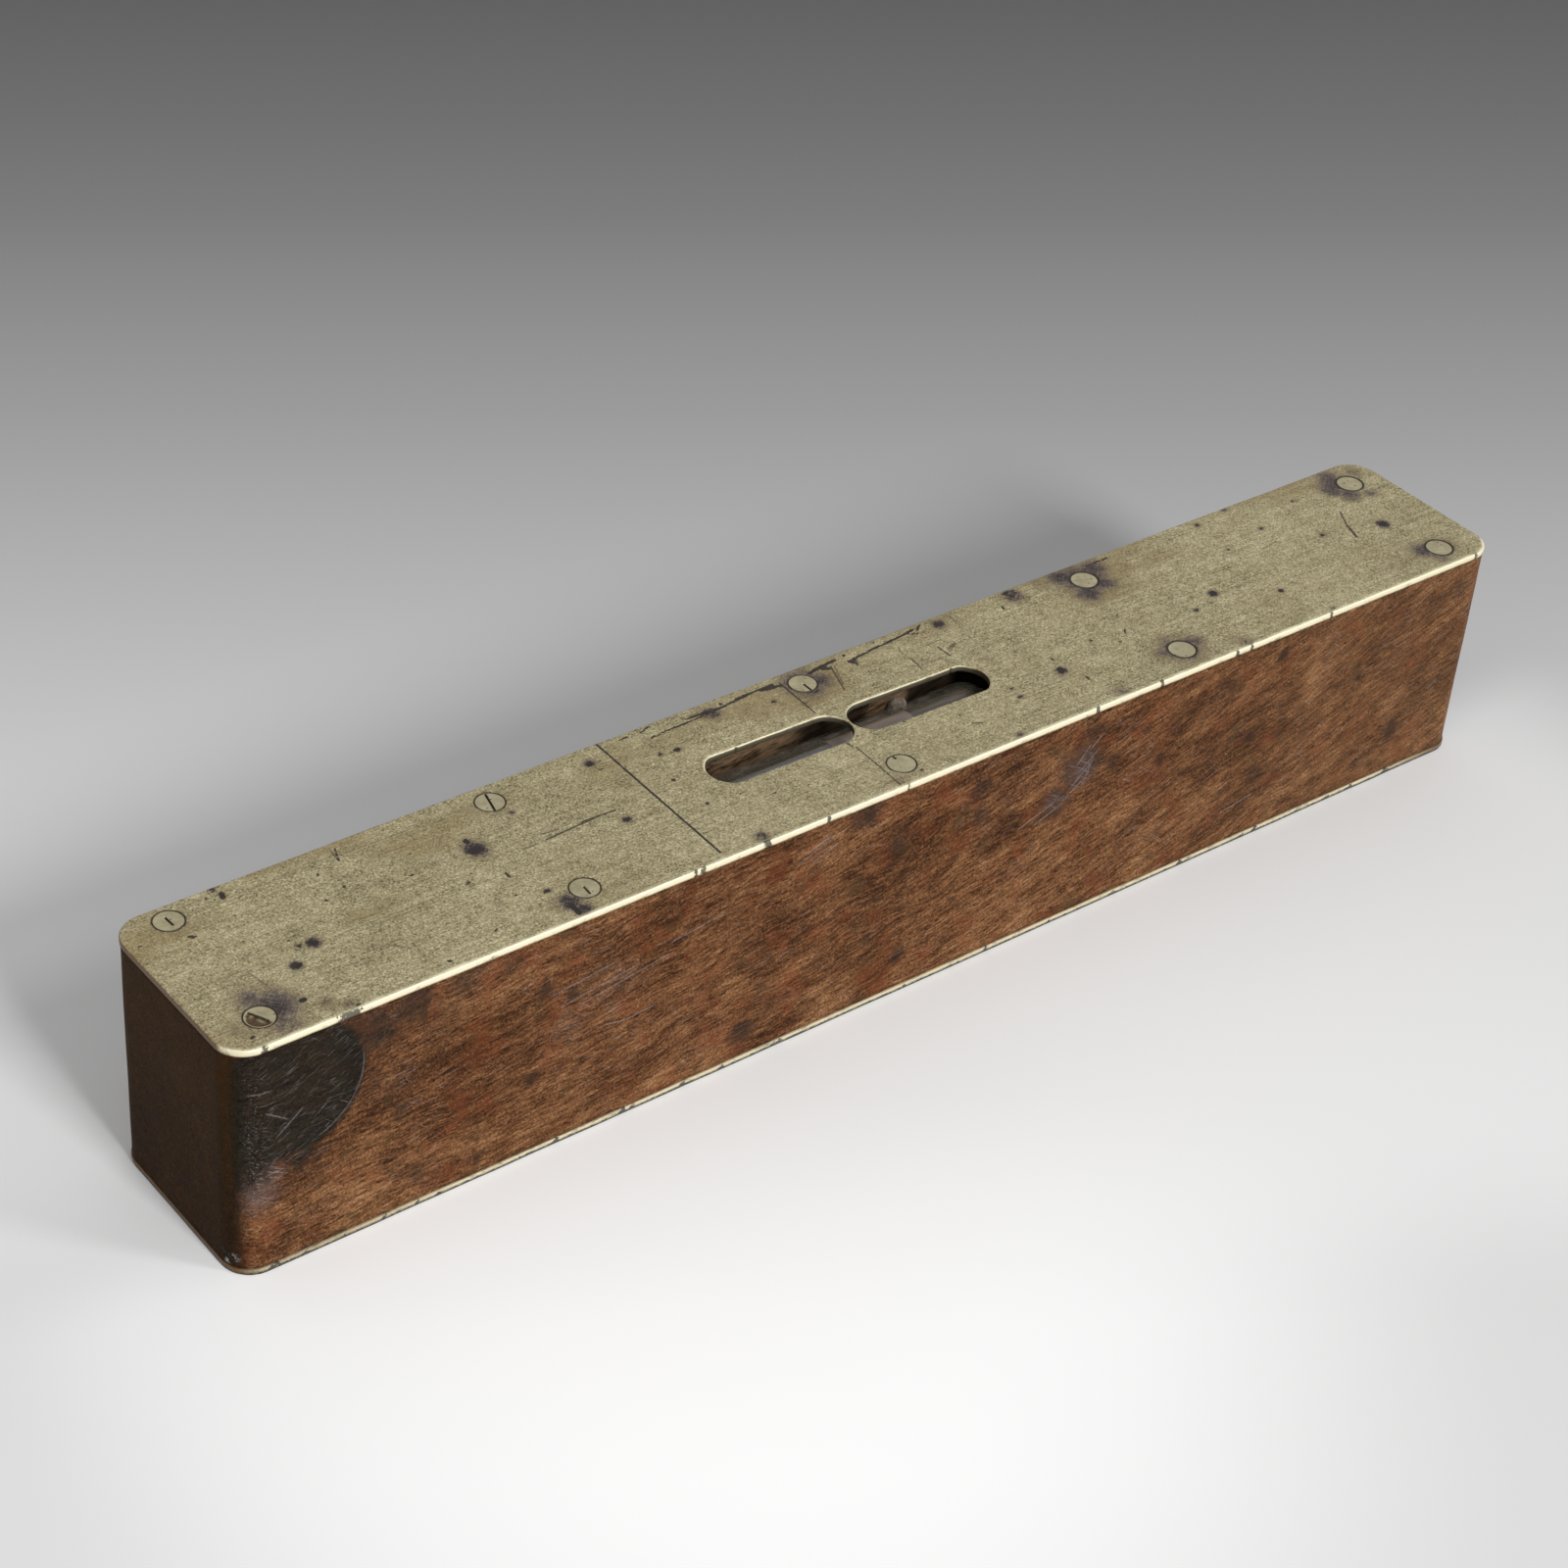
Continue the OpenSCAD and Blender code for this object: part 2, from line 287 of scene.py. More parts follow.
def newMaterial(name, **fixed):
    # a Principled material with fixed socket values, their names with _ for a space; gives the material, its shader and
    # the place in millimetres
    material = bpy.data.materials.new(name)
    material.use_nodes = True
    tree = material.node_tree
    tree.nodes.clear()
    start = Wire(tree)
    shader = start.node("BsdfPrincipled", None, {key.replace("_", " "): value for key, value in fixed.items()})
    body = start.last
    start.node("OutputMaterial", None, {"Surface": shader})
    coordinates = start.node("TexCoord", out=3)
    place = start.node("VectorMath", {"operation": "SCALE"}, {0: coordinates, "Scale": 1 / mm})
    return material, body, place


def feed(body, **sockets):
    # links values to sockets of a shader; the names have _ for a space
    tree = body.id_data
    for name, value in sockets.items():
        entry = body.inputs[name.replace("_", " ")]
        if isinstance(value, Wire):
            tree.links.new(value.socket, entry)
        else:
            entry.default_value = value


def emboss(body, height, depth):
    # bump from a height of 0 to 1 that stands for this many millimetres
    wire = Wire(body.id_data)
    feed(body, Normal=wire.node("Bump", None, {"Height": height, "Distance": depth * mm, "Strength": 1.0}))


window = {"slotLength": 32.7, "slotWidth": 9.4, "bar": 0.5, "drilledEnd": 5.2, "turn": -1.2}
plate = {"corner": 6.0, "step": 0.53, "edgeRound": 0.32, "slotRound": 0.1, "holeGap": 0.12, "jointX": -50.1,
         # nicks in the front edge: where along it, reach, depth
         "nicks": [(-146, 0.8, 0.2), (-129.5, 3.0, 0.1), (-57.3, 0.5, 0.4), (-55.6, 0.7, 0.4), (-41.2, 1.1, 0.5),
                   (-27, 0.6, 0.2), (-8, 0.5, 0.2), (39.5, 0.6, 0.35), (56.5, 0.6, 0.45), (77, 0.6, 0.35),
                   (81, 0.6, 0.3), (103.5, 0.4, 0.35), (146.5, 0.6, 0.25)]}


def screwPlaces(row):
    # middle x, middle y and head radius of each screw of a row
    places = []
    for number in range(1, 11):
        low, high = boxOf(f"{row}_screw_{number}")
        places.append(((low[0] + high[0]) / 2, (low[1] + high[1]) / 2, (high[0] - low[0]) / 2))
    return places


topScrews, soleScrews = screwPlaces("top"), screwPlaces("sole")


def rectangleField(x, y, length, width, radius):
    # distance outside a rectangle with round corners, below 0 inside it
    qx, qy = np.abs(x) - (length / 2 - radius), np.abs(y) - (width / 2 - radius)
    return np.hypot(np.maximum(qx, 0), np.maximum(qy, 0)) + np.minimum(np.maximum(qx, qy), 0) - radius


def outlineField(x, y):
    # distance outside the level's own outline
    return rectangleField(x, y, levelSize[0], levelSize[1], plate["corner"])


def slotField(x, y):
    # distance outside the nearer sight slot: each is half round towards the bar and cut by a wider drill at its far end
    turn = math.radians(window["turn"])
    dx, dy = x - windowMiddle[0], y - windowMiddle[1]
    along = np.abs(dx * math.cos(turn) + dy * math.sin(turn))
    across = dy * math.cos(turn) - dx * math.sin(turn)
    half = window["slotWidth"] / 2
    innerX, outerX = window["bar"] / 2 + half, window["bar"] / 2 + window["slotLength"] - window["drilledEnd"]
    inner = np.hypot(along - innerX, across) - half
    band = np.maximum(np.abs(across) - half, innerX - along)
    outer = np.hypot(along - outerX, across) - window["drilledEnd"]
    drilled = np.maximum(np.abs(across) - half, outer)
    return np.where(along > outerX, drilled, np.where(along < innerX, inner, band))


def holeField(x, y, screws, gap):
    # distance outside the nearest screw hole
    return np.min([np.hypot(x - sx, y - sy) - radius - gap for sx, sy, radius in screws], axis=0)


def gridLines(low, high, step, fine=()):
    # crossings about step apart, closer together about each (place, reach, closest step)
    dense = np.linspace(low, high, 20001)
    rate = np.full_like(dense, 1 / step)
    for at, reach, closest in fine:
        rate += (1 / closest - 1 / step) * np.exp(-((dense - at) / reach) ** 4)
    count = np.concatenate([[0], np.cumsum((rate[1:] + rate[:-1]) / 2 * np.diff(dense))])
    return np.interp(np.linspace(0, count[-1], int(math.ceil(count[-1])) + 1), count, dense)


def cutSheet(columns, rows, field, drops, faceHeight, reliefOf=None):
    # A flat sheet cut out of a grid. field(x, y) gives the distance outside the metal and the kind of edge that is
    # nearest. Crossings within half a cell of the outline slide onto it along the field's slope, cells that stay in
    # the metal are kept, and the outline's points go down in rings: drops[kind] lists how far out and how far down
    # each ring lies. A copy of the sheet, turned over, closes the underside at the last ring.
    x, y = np.meshgrid(columns, rows, indexing="ij")
    stepX = np.gradient(columns)[:, None] + 0 * y
    stepY = np.gradient(rows)[None, :] + 0 * x
    tiny = 1e-4

    def slope(x, y):
        f = field(x, y)[0]
        gx = (field(x + tiny, y)[0] - field(x - tiny, y)[0]) / (2 * tiny)
        gy = (field(x, y + tiny)[0] - field(x, y - tiny)[0]) / (2 * tiny)
        size = np.maximum(np.hypot(gx, gy), 1e-6)
        return f, gx / size, gy / size

    f, gx, gy = slope(x, y)
    near = np.abs(f) < 0.505 * np.maximum(stepX * np.abs(gx), stepY * np.abs(gy))
    outside = (f > 0) & ~near
    for _ in range(4):
        x, y = np.where(near, x - f * gx, x), np.where(near, y - f * gy, y)
        f, gx, gy = slope(x, y)
    m, n = x.shape
    index = np.arange(m * n).reshape(m, n)
    corners = np.stack([index[:-1, :-1], index[1:, :-1], index[1:, 1:], index[:-1, 1:]], -1).reshape(-1, 4)
    out, on = outside.ravel()[corners], near.ravel()[corners]
    px, py = x.ravel(), y.ravel()
    middle = field(px[corners].mean(1), py[corners].mean(1))[0]
    quads = corners[(out.sum(1) == 0) & (~on.all(1) | (middle < 0))]
    one = corners[out.sum(1) == 1]
    skip = out[out.sum(1) == 1].argmax(1)
    order = (skip[:, None] + np.array([1, 2, 3])[None, :]) % 4
    threes = np.take_along_axis(one, order, 1)
    inside = field(px[threes].mean(1), py[threes].mean(1))[0] < 0
    threes = threes[inside & ~near.ravel()[threes].all(1)]
    count = m * n
    start = np.concatenate([quads.ravel(), threes.ravel()]).astype(np.int64)
    end = np.concatenate([np.roll(quads, -1, 1).ravel(), np.roll(threes, -1, 1).ravel()]).astype(np.int64)
    loose = ~np.isin(start * count + end, end * count + start)
    start, end = start[loose], end[loose]
    rim = np.unique(np.concatenate([start, end]))
    kind = field(px[rim], py[rim])[1]
    rimX, rimY, normX, normY = px[rim], py[rim], gx.ravel()[rim], gy.ravel()[rim]
    used = np.unique(np.concatenate([quads.ravel(), threes.ravel()]))
    place = np.full(count, -1)
    place[used] = np.arange(len(used))
    relief = reliefOf(px[used], py[used]) if reliefOf else 0 * px[used]
    top = np.stack([px[used], py[used], faceHeight + relief], -1)
    points = [top]
    rimTop = top[place[rim], 2]
    before = place.copy()
    faces = place[quads].tolist() + place[threes].tolist()
    base = len(used)
    for ring in range(len(drops[0])):
        away = np.array([path[ring][0] for path in drops])[kind]
        down = np.array([path[ring][1] for path in drops])[kind]
        fall = np.where(ring < 2, rimTop, faceHeight) - down
        points.append(np.stack([rimX + away * normX, rimY + away * normY, fall], -1))
        ringPlace = np.full(count, -1)
        ringPlace[rim] = base + np.arange(len(rim))
        faces += np.stack([before[end], before[start], ringPlace[start], ringPlace[end]], -1).tolist()
        before = ringPlace
        base += len(rim)
    inner = np.setdiff1d(used, rim)
    under = before.copy()
    under[inner] = base + np.arange(len(inner))
    lowest = faceHeight - drops[0][-1][1]
    points.append(np.stack([px[inner], py[inner], np.full(len(inner), lowest)], -1))
    faces += under[quads][:, ::-1].tolist() + under[threes][:, ::-1].tolist()
    return np.vstack(points), faces


def plateField(x, y):
    worn = 0.06 * softNoise(x, y, 3, 9.0) + 0.04 * softNoise(x, y, 9, 2.1)
    bite = np.zeros(np.broadcast(x, y).shape)
    for at, reach, depth in plate["nicks"]:
        bite = np.maximum(bite, 0.3 * depth * np.exp(-((x - at) / reach) ** 4) * (y < 0))
    edge = outlineField(x, y) + plate["edgeRound"] + 0.05 + worn + bite
    slots = plate["slotRound"] - slotField(x, y) + 0.05 * softNoise(x, y, 5, 1.6)
    holes = 0.03 - holeField(x, y, topScrews, plate["holeGap"])
    stack = np.stack([edge, slots, holes])
    return stack.max(0), stack.argmax(0)


def plateRelief(x, y):
    # the face is a little wavy from years of filing, never above the face's height
    return 0.02 * softNoise(x, y, 0, 22.0) + 0.008 * softNoise(x, y, 4, 5.0) - 0.03


plateT = plateHigh[2] - plateLow[2]
bend = plate["edgeRound"]
plateDrops = [
    [(0.35 * bend, 0.05 * bend), (0.75 * bend, 0.3 * bend), (0.95 * bend, 0.75 * bend), (bend, 1.3 * bend),
     (bend, plateT)],
    [(0.04, 0.02), (0.07, 0.06), (0.07, 0.26), (0.1, 0.4), (0.12, plateT)],
    [(0.03, 0.02), (0.05, 0.08), (0.4, 0.5), (0.9, 1.0), (1.1, plateT)]]
columns = gridLines(levelLow[0], levelHigh[0], plate["step"],
                    [(windowMiddle[0], 0.8, 0.1), (plate["jointX"], 0.5, 0.16)])
rows = gridLines(levelLow[1], levelHigh[1], plate["step"])
plateVerts, plateFaces = cutSheet(columns, rows, plateField, plateDrops, plateHigh[2], plateRelief)
print("top plate worked out:", len(plateVerts), "points")

# stains on the brass: (x, y, radius, strength)
plateStains = [
    (-125, -1.8, 1.6, 1.0), (-127.6, -1.2, 1.0, 0.6), (-130.8, -5.4, 1.4, 0.9), (-134.5, -14, 0.9, 0.9),
    (-131.5, -16.5, 2.0, 0.45), (-128.5, -19, 1.8, 0.45), (-87, 5.6, 2.5, 1.0), (-87, 8.5, 1.0, 0.8),
    (-95.5, 6, 1.8, 0.3), (-81.5, -16, 3.0, 0.75), (-80.5, -19, 2.2, 0.8), (-83, -11.4, 0.8, 0.7),
    (-132, 20.5, 0.9, 0.8), (-131.5, 18, 0.8, 0.8), (-54.5, 16.3, 1.4, 0.9), (-58.8, -1.6, 1.2, 0.8),
    (-25.5, 17.5, 2.5, 0.75), (-38, 11.2, 0.9, 0.8), (-41.5, 11.8, 0.9, 0.6), (-41.2, -19, 1.8, 0.7),
    (31.8, 18.3, 1.7, 0.9), (51.5, 18.5, 2.8, 0.75), (58.5, 18.5, 2.0, 0.4), (41.8, -7.5, 1.6, 0.9),
    (47, -19.3, 2.4, 0.5), (20.5, -19.9, 1.4, 0.6), (29, -10, 0.8, 0.9), (87.5, -2.6, 1.3, 1.0),
    (80.1, -5.4, 0.9, 0.7), (84.6, -5, 0.6, 0.6), (100.3, -9.3, 0.9, 0.8), (103.2, 18.8, 1.0, 0.7),
    (112.5, 20.5, 1.2, 0.6), (114, 10.7, 1.0, 0.6), (123.4, 1.8, 1.0, 0.7), (138, -1.8, 1.8, 0.9),
    (127.7, 15.2, 0.7, 0.7), (80.5, -19.3, 2.6, 0.5), (104.8, -20, 1.0, 0.6), (27.5, -10.8, 0.7, 0.4),
    (29.2, -7, 0.8, 0.6), (54, -2.4, 0.5, 0.7), (58.8, -5.8, 0.5, 0.6), (-12.7, 14.2, 0.8, 0.7),
    (-75.3, 11.4, 0.9, 0.7)]
# dark haloes where the screws have tarnished the brass about them: (x, y, radius, strength)
plateHaloes = [
    (-139.5, -13, 5.0, 0.95), (-142, -9, 3.2, 0.7), (-140, -17.5, 4.0, 0.6), (-147, -15, 3.0, 0.4),
    (-4.3, 16.2, 5.0, 0.95), (-0.8, 15.2, 3.0, 0.85), (-4.3, 12.6, 3.0, 0.6), (68.1, 15.3, 5.6, 1.0),
    (64.5, 18.5, 3.4, 0.95), (65.5, 11.2, 3.4, 0.95), (72.5, 17.5, 3.4, 0.9), (71, 12, 3.0, 0.8),
    (59.5, 19, 3.0, 0.4), (141, 15, 4.2, 1.0), (138.5, 14, 3.0, 0.9), (141.5, 18.2, 3.0, 0.85),
    (140.5, 10.6, 3.0, 0.85), (145, 8.6, 2.2, 0.6), (148, 17, 2.5, 0.5), (67.65, -14.5, 5.0, 0.8),
    (63.5, -13.5, 2.4, 0.6), (72, -13.5, 2.6, 0.7), (67, -10.5, 2.6, 0.5), (137.8, -14, 3.2, 0.85),
    (139, -18, 2.6, 0.6), (141.4, -15, 4.6, 0.55), (-77, 16, 4.4, 0.35), (-142.7, 16.8, 4.4, 0.3),
    (-4.95, -15, 4.4, 0.35), (-77, -14.2, 4.2, 0.2), (-8.5, -19, 2.4, 0.4)]
px, py, pz = plateVerts.T


def brightRim(x, y, width):
    # 1 on the last bit of the plate's rim where it faces the front; the painted highlight goes there
    tiny = 0.01
    facing = (outlineField(x, y - tiny) - outlineField(x, y + tiny)) / (2 * tiny)
    return ramp(outlineField(x, y), -width - 0.12, -width + 0.12) * ramp(facing, 0.15, 0.6)


def nicksAlong(x, y, nicks):
    # 1 at each nick of the front edge, a (place, reach, depth) each
    total = np.zeros(len(x))
    front = levelSize[1] / 2
    for at, reach, depth in nicks:
        inward = ramp(-y, front - 0.4 - 2 * depth, front - 0.2)
        total = np.maximum(total, np.exp(-((x - at) / reach) ** 2) * inward)
    return total


# small dark spots: middle x, y, length, direction, width
plateSpots = [
    (-33, 17.4, 14, 3, 0.45), (-27, 18.4, 9, -4, 0.4), (-20, 18.3, 9, 6, 0.55), (-14, 18.9, 9, 2, 0.6),
    (-10.5, 18.2, 4, -8, 0.8), (-39.5, 19.8, 3, 20, 0.4), (0.5, 18.6, 3.5, 12, 0.8), (4.2, 19.1, 3.5, 4, 0.7),
    (2.8, 17.6, 2.2, -25, 0.5), (11.5, 17.9, 7, 8, 0.5), (17.5, 18.6, 6, 3, 0.55), (23.5, 19.2, 5, 9, 0.5),
    (27.5, 19.6, 2.4, 40, 0.5), (9.2, 16.6, 2.6, 70, 0.4), (25.2, 18.4, 1.8, -30, 0.5), (-44.5, 19.6, 1.6, 0, 0.5),
    (-3.6, 12.6, 1.2, 20, 0.5), (75, 19.2, 6, 1, 0.45), (-108.6, 17.4, 3.2, 70, 0.35), (-131.4, 18.1, 1.2, 80, 1.0),
    (-141.5, 10.8, 0.9, -30, 0.7), (-150.2, 13.3, 0.3, 0, 0.5), (-151.3, 8.5, 0.3, 0, 0.4),
    (-132.5, 11.8, 1.0, 90, 0.3), (-127.5, -1.2, 0.5, 0, 0.6), (-128.3, 1.0, 0.3, 0, 0.4),
    (-112.3, 8.8, 0.6, 50, 0.5), (-100.6, 5.2, 0.5, 0, 0.6), (-93.5, -2.0, 0.9, 30, 0.5),
    (-97.4, 10.8, 0.5, 0, 0.4), (-86.2, -3.9, 1.4, 100, 0.5), (-86.3, -14, 0.5, 0, 0.5),
    (-96.8, -15.7, 0.5, 30, 0.5), (-85.8, 21, 1.1, 45, 0.5), (-83.2, -11.4, 0.9, 0, 0.7),
    (-134.5, -14, 0.6, 0, 0.9), (-127.3, -20, 0.4, 0, 0.6), (-113.8, -17.2, 0.9, 0, 0.35),
    (-146.5, -17.8, 0.5, 0, 0.6), (-81.9, -18.4, 2.4, 86, 1.0), (-87, 8.4, 0.6, 90, 1.0),
    (-130.3, -5.7, 0.8, 30, 1.0), (-125.2, -1.6, 1.0, -40, 1.1), (-87.2, 5.4, 1.0, 10, 1.6),
    (-54.6, 16.2, 0.9, 60, 0.9), (-58.8, -1.6, 0.8, 0, 0.7), (-53.8, 13.6, 0.4, 0, 0.4), (-38, 11.3, 0.6, 0, 0.9),
    (-41.7, 11.8, 0.5, 0, 0.6), (-13, 14.3, 0.7, 0, 0.5), (14.9, -8.3, 0.4, 0, 0.6), (28.8, -10, 0.7, 0, 0.7),
    (29.2, -7, 0.8, 10, 0.35), (31.3, -3.3, 0.9, 0, 0.3), (43, -3.3, 0.8, 80, 0.4), (41.8, -7.3, 1.2, 60, 1.2),
    (44.7, -12.5, 1.5, 92, 0.45), (54.1, -2.4, 0.4, 0, 0.6), (59, -5.9, 0.3, 0, 0.5), (62.2, -3.6, 1.2, 55, 0.4),
    (64.8, 1.6, 0.8, 45, 0.3), (46.8, 16.1, 1.1, 70, 0.5), (50.8, 20.1, 1.3, 10, 0.8), (52.8, 19.9, 0.4, 0, 0.5),
    (16.6, 20.2, 0.4, 0, 0.4), (2.8, 18.2, 1.0, 0, 0.6), (8.3, 17, 1.0, 100, 0.6), (87.5, -2.6, 0.8, 40, 1.1),
    (80.1, -5.4, 0.5, 0, 0.7), (100.3, -9.3, 0.4, 0, 0.8), (84.6, -5, 0.4, 0, 0.4), (123.4, 1.8, 0.5, 0, 0.6),
    (138, -1.8, 0.9, 0, 1.1), (114, 10.7, 0.5, 0, 0.6), (127.7, 15.2, 0.4, 0, 0.5), (103.2, 18.8, 0.5, 0, 0.7),
    (-5.2, 17.7, 0.5, 20, 0.5), (-31.5, -9.7, 1.4, 10, 0.35), (-36, -6.4, 1.0, 0, 0.3)]


def spotted(x, y, spots):
    # 1 inside short thick strokes and 0 beyond them, passing 0.5 at their edge
    total = np.zeros(np.broadcast(x, y).shape)
    for spotX, spotY, length, direction, width in spots:
        ux, uy = math.cos(math.radians(direction)), math.sin(math.radians(direction))
        along = np.clip((x - spotX) * ux + (y - spotY) * uy, -length / 2, length / 2)
        away = np.hypot(x - spotX - along * ux, y - spotY - along * uy)
        total = np.maximum(total, ramp(width / 2 + 0.4 - away, 0, 0.7))
    return total


depth = plateHigh[2] - pz
slotWall = ramp(0.3 - np.abs(slotField(px, py)), 0, 0.1)
fromHole = np.maximum(holeField(px, py, topScrews, plate["holeGap"]), 0)
# painted highlight, partly real rubbing: the front-facing rim, the upper part of the front wall and the slots' far
# walls
arrisHighlight = np.maximum(brightRim(px, py, 0.36), slotWall * ramp(py, 1.5, 4) * ramp(depth, 0.5, 0.3))
arrisHighlight = arrisHighlight * ramp(depth, 0.01, 0.05) * ramp(depth, 0.66, 0.55)
frontWallHighlight = brightRim(px, py, 0.36) * ramp(depth, 1.3 - 0.6 * ramp(px, 0, 80), 0.9 - 0.5 * ramp(px, 0, 80))
plateMarks = {
    "spot": spotted(px, py, plateSpots),
    "stain": blot(px, py, plateStains),
    "halo": blot(px, py, plateHaloes),
    "brink": np.exp(-fromHole / (0.16 + 0.4 * ramp(px, 40, 60))),      # wider at the right
    "rub": arrisHighlight + frontWallHighlight,
    "nick": nicksAlong(px, py, plate["nicks"]),
    # painted shade on the lower part of the slot walls
    "under": ramp(depth, 0.25, 0.4) * ramp(0.4 - np.abs(slotField(px, py)), 0, 0.1),
    "wall": ramp(depth, 0.05, 0.2)}


def scratch(place, ax, ay, bx, by, width, fade=0.3):
    # 1 on a straight scratch from a to b, this wide, and 0 away from it, ends tapering
    x, y = place
    length = math.hypot(bx - ax, by - ay)
    ux, uy = (bx - ax) / length, (by - ay) / length
    along = (x - ax) * ux + (y - ay) * uy
    across = abs((x - ax) * uy - (y - ay) * ux)
    over = abs(along - length / 2) - length / 2
    return across.between(width * 0.4, width * 0.95, 1.0, 0.0) * over.between(-fade, fade, 1.0, 0.0)


def agedBrass(name, scribed=()):
    # brass plate; the one with scribed lines also carries the stains and spots that are marked on it
    finish = {"deep": (94, 83, 56), "dark": (138, 126, 91), "mid": (164, 152, 115), "pale": (182, 171, 135),
              "bright": (212, 203, 166), "film": (134, 113, 66), "brown": (104, 82, 56), "tarnish": (66, 55, 62),
              "core": (36, 28, 26), "grime": (50, 41, 32), "worn": (250, 240, 205), "bronze": (106, 64, 28),
              "verdigrisAndShade": (38, 40, 32)}
    material, body, place = newMaterial(name)
    x, y, z = place.parts()
    cloud = place.noise(24, 3, 0.5)
    mottle = place.noise(4.2, 4, 0.6, twist=0.3)
    grit = place.noise(0.8, 3, 0.65)
    sand = place.noise(0.42, 2, 0.6, shift=(9, 4, 0))
    crossed = (place.noise(1.0, 2, 0.5, stretch=(3.0, 0.3, 1), turn=(0, 0, 47)) +
               place.noise(1.0, 2, 0.5, stretch=(3.0, 0.3, 1), turn=(0, 0, -44), shift=(5, 0, 0)))
    brush = place.noise(1.0, 2, 0.5, stretch=(20, 0.32, 1), turn=(0, 0, 1))
    tone = (0.54 + (cloud - 0.5) * 0.4 + (mottle - 0.5) * 0.6 + (grit - 0.5) * 1.0 + (sand - 0.5) * 2.0 +
            (crossed - 1) * 0.45 + (brush - 0.5) * 0.7)
    colour = tone.bands((0.0, finish["deep"]), (0.28, finish["dark"]), (0.5, finish["mid"]), (0.74, finish["pale"]),
                        (1.0, finish["bright"]))
    # an olive film here and there, and more of it along the back
    film = place.noise(13, 4, 0.6, stretch=(2.2, 1, 1), shift=(30, 8, 0)) + y.between(4, 21) * 0.14
    film = film.between(0.52, 0.78)
    colour = (film * (0.25 + grit * 0.5)).tint(colour, finish["film"])
    # hair scratches, pale ones over the plate and dark ones along it
    patch = place.noise(10, 3, 0.5, shift=(0, 40, 0))
    rising = place.hairs(8, 0.14, 38, 0.66, 0.71)
    falling = place.hairs(7, 0.14, -52, 0.67, 0.72, (2, 2, 0))
    colour = ((rising + falling) * patch.between(0.4, 0.6) * 0.4).tint(colour, finish["bright"])
    lines = place.hairs(15, 0.15, 1.5, 0.66, 0.71, (0, 7, 0)) * patch.between(0.6, 0.42)
    ticks = place.hairs(2.4, 0.2, 76, 0.7, 0.75, (4, 1, 0))
    colour = (lines * 0.55 + ticks * 0.6).tint(colour, finish["grime"])
    # specks of grime in drifts and a few deeper pits, none of them round
    frayed = place.noise(0.5, 2, 0.6, shift=(1, 6, 0))
    drift = place.noise(15, 4, 0.6, shift=(5, 70, 0)).between(0.45, 0.66)
    specks = (place.cells(1.9) + (frayed - 0.5) * 0.55).between(0.13, 0.03) * (drift * 0.85 + 0.2)
    freckles = (place.cells(0.95, shift=(1, 8, 0)) + (frayed - 0.5) * 0.6).between(0.17, 0.05)
    freckles = freckles * place.noise(6, 4, 0.7, shift=(44, 3, 0)).between(0.46, 0.64)
    pits = (place.cells(7.5, shift=(3, 3, 0)) + (frayed - 0.5) * 0.16).between(0.066, 0.036)
    colour = (specks.atLeast(freckles * 0.8) * 0.85).tint(colour, finish["grime"])
    colour = (pits * 0.95).tint(colour, finish["core"])
    dull = specks * 0.4 + pits * 0.3
    grooves = pits * 0.4
    if scribed:
        ragged = place.noise(1.1, 4, 0.72)
        worry = 0.2 + ragged * 1.25 + (crossed - 1) * 0.9
        halo = place.mark("halo") * worry
        stain = place.mark("stain") * worry
        veil = halo.between(0.18, 0.62).atLeast(stain.between(0.2, 0.55))
        colour = (halo.atLeast(stain).between(0.02, 0.3) * 0.35).tint(colour, finish["brown"])
        colour = (veil * 0.85).tint(colour, finish["tarnish"])
        heart = halo.between(0.5, 0.95).atLeast(stain.between(0.36, 0.62))
        colour = (heart * 0.9).tint(colour, finish["core"])
        brink = (place.mark("brink") * (0.55 + ragged * 0.9)).between(0.35, 0.8)
        colour = (brink * 0.92).tint(colour, finish["core"])
        spot = (place.mark("spot") + (frayed - 0.5) * 0.9).between(0.4, 0.62)
        colour = (spot * 0.93).tint(colour, finish["core"])
        cut = None
        for ax, ay, bx, by, width, depth in scribed:
            line = scratch((x, y), ax, ay, bx, by, width, 0.2) * depth
            cut = line if cut is None else cut.atLeast(line)
        cut = cut * (frayed.between(0.2, 0.5, 0.5, 1.0) + grit.between(0.5, 0.62, 0.0, 0.3)).atMost(1.0)
        colour = cut.tint(colour, finish["core"])
        dull = dull.atLeast(veil).atLeast(cut)
        grooves = grooves.atLeast(cut)
    # the rim: a cream painted highlight, partly real rubbing, where it faces the front and on the slots' far walls;
    # chipped and green black in places, brown to bronze below
    chip = place.noise(1.6, 4, 0.7, stretch=(2, 1, 1), shift=(0, 0, 9))
    rub = place.mark("rub") * chip.between(0.34, 0.5, 0.45, 1.0)
    wall = place.mark("wall") * (1 - rub)
    wallTone = (chip * 0.8 + grit * 0.3).between(0.4, 0.65).tint(finish["brown"], finish["bronze"])
    colour = (wall * 0.9).tint(colour, wallTone)
    # the worn colour is a cream painted highlight here, partly real wear
    colour = rub.tint(colour, finish["worn"])
    # nicks, chips and the painted shade low in the slot walls and at the sole's foot turn green black
    nicks = (place.mark("nick") * (frayed * 1.0 + grit * 1.8 - 0.55)).between(0.42, 0.6)
    nicks = nicks + place.mark("wall") * chip.between(0.33, 0.29)
    nicks = nicks.atLeast(place.mark("under") * 0.95).clamp()
    colour = (nicks * 0.9).tint(colour, finish["verdigrisAndShade"])
    feed(body, Base_Color=colour)
    feed(body, Metallic=0.35 - dull.clamp() * 0.3 - nicks * 0.3)
    feed(body, Roughness=0.4 + grit * 0.14 + dull * 0.25 - rub * 0.1)
    emboss(body, tone * 0.35 - grooves * 1.6 - specks * 0.3 - nicks * 0.8, 0.05)
    return material


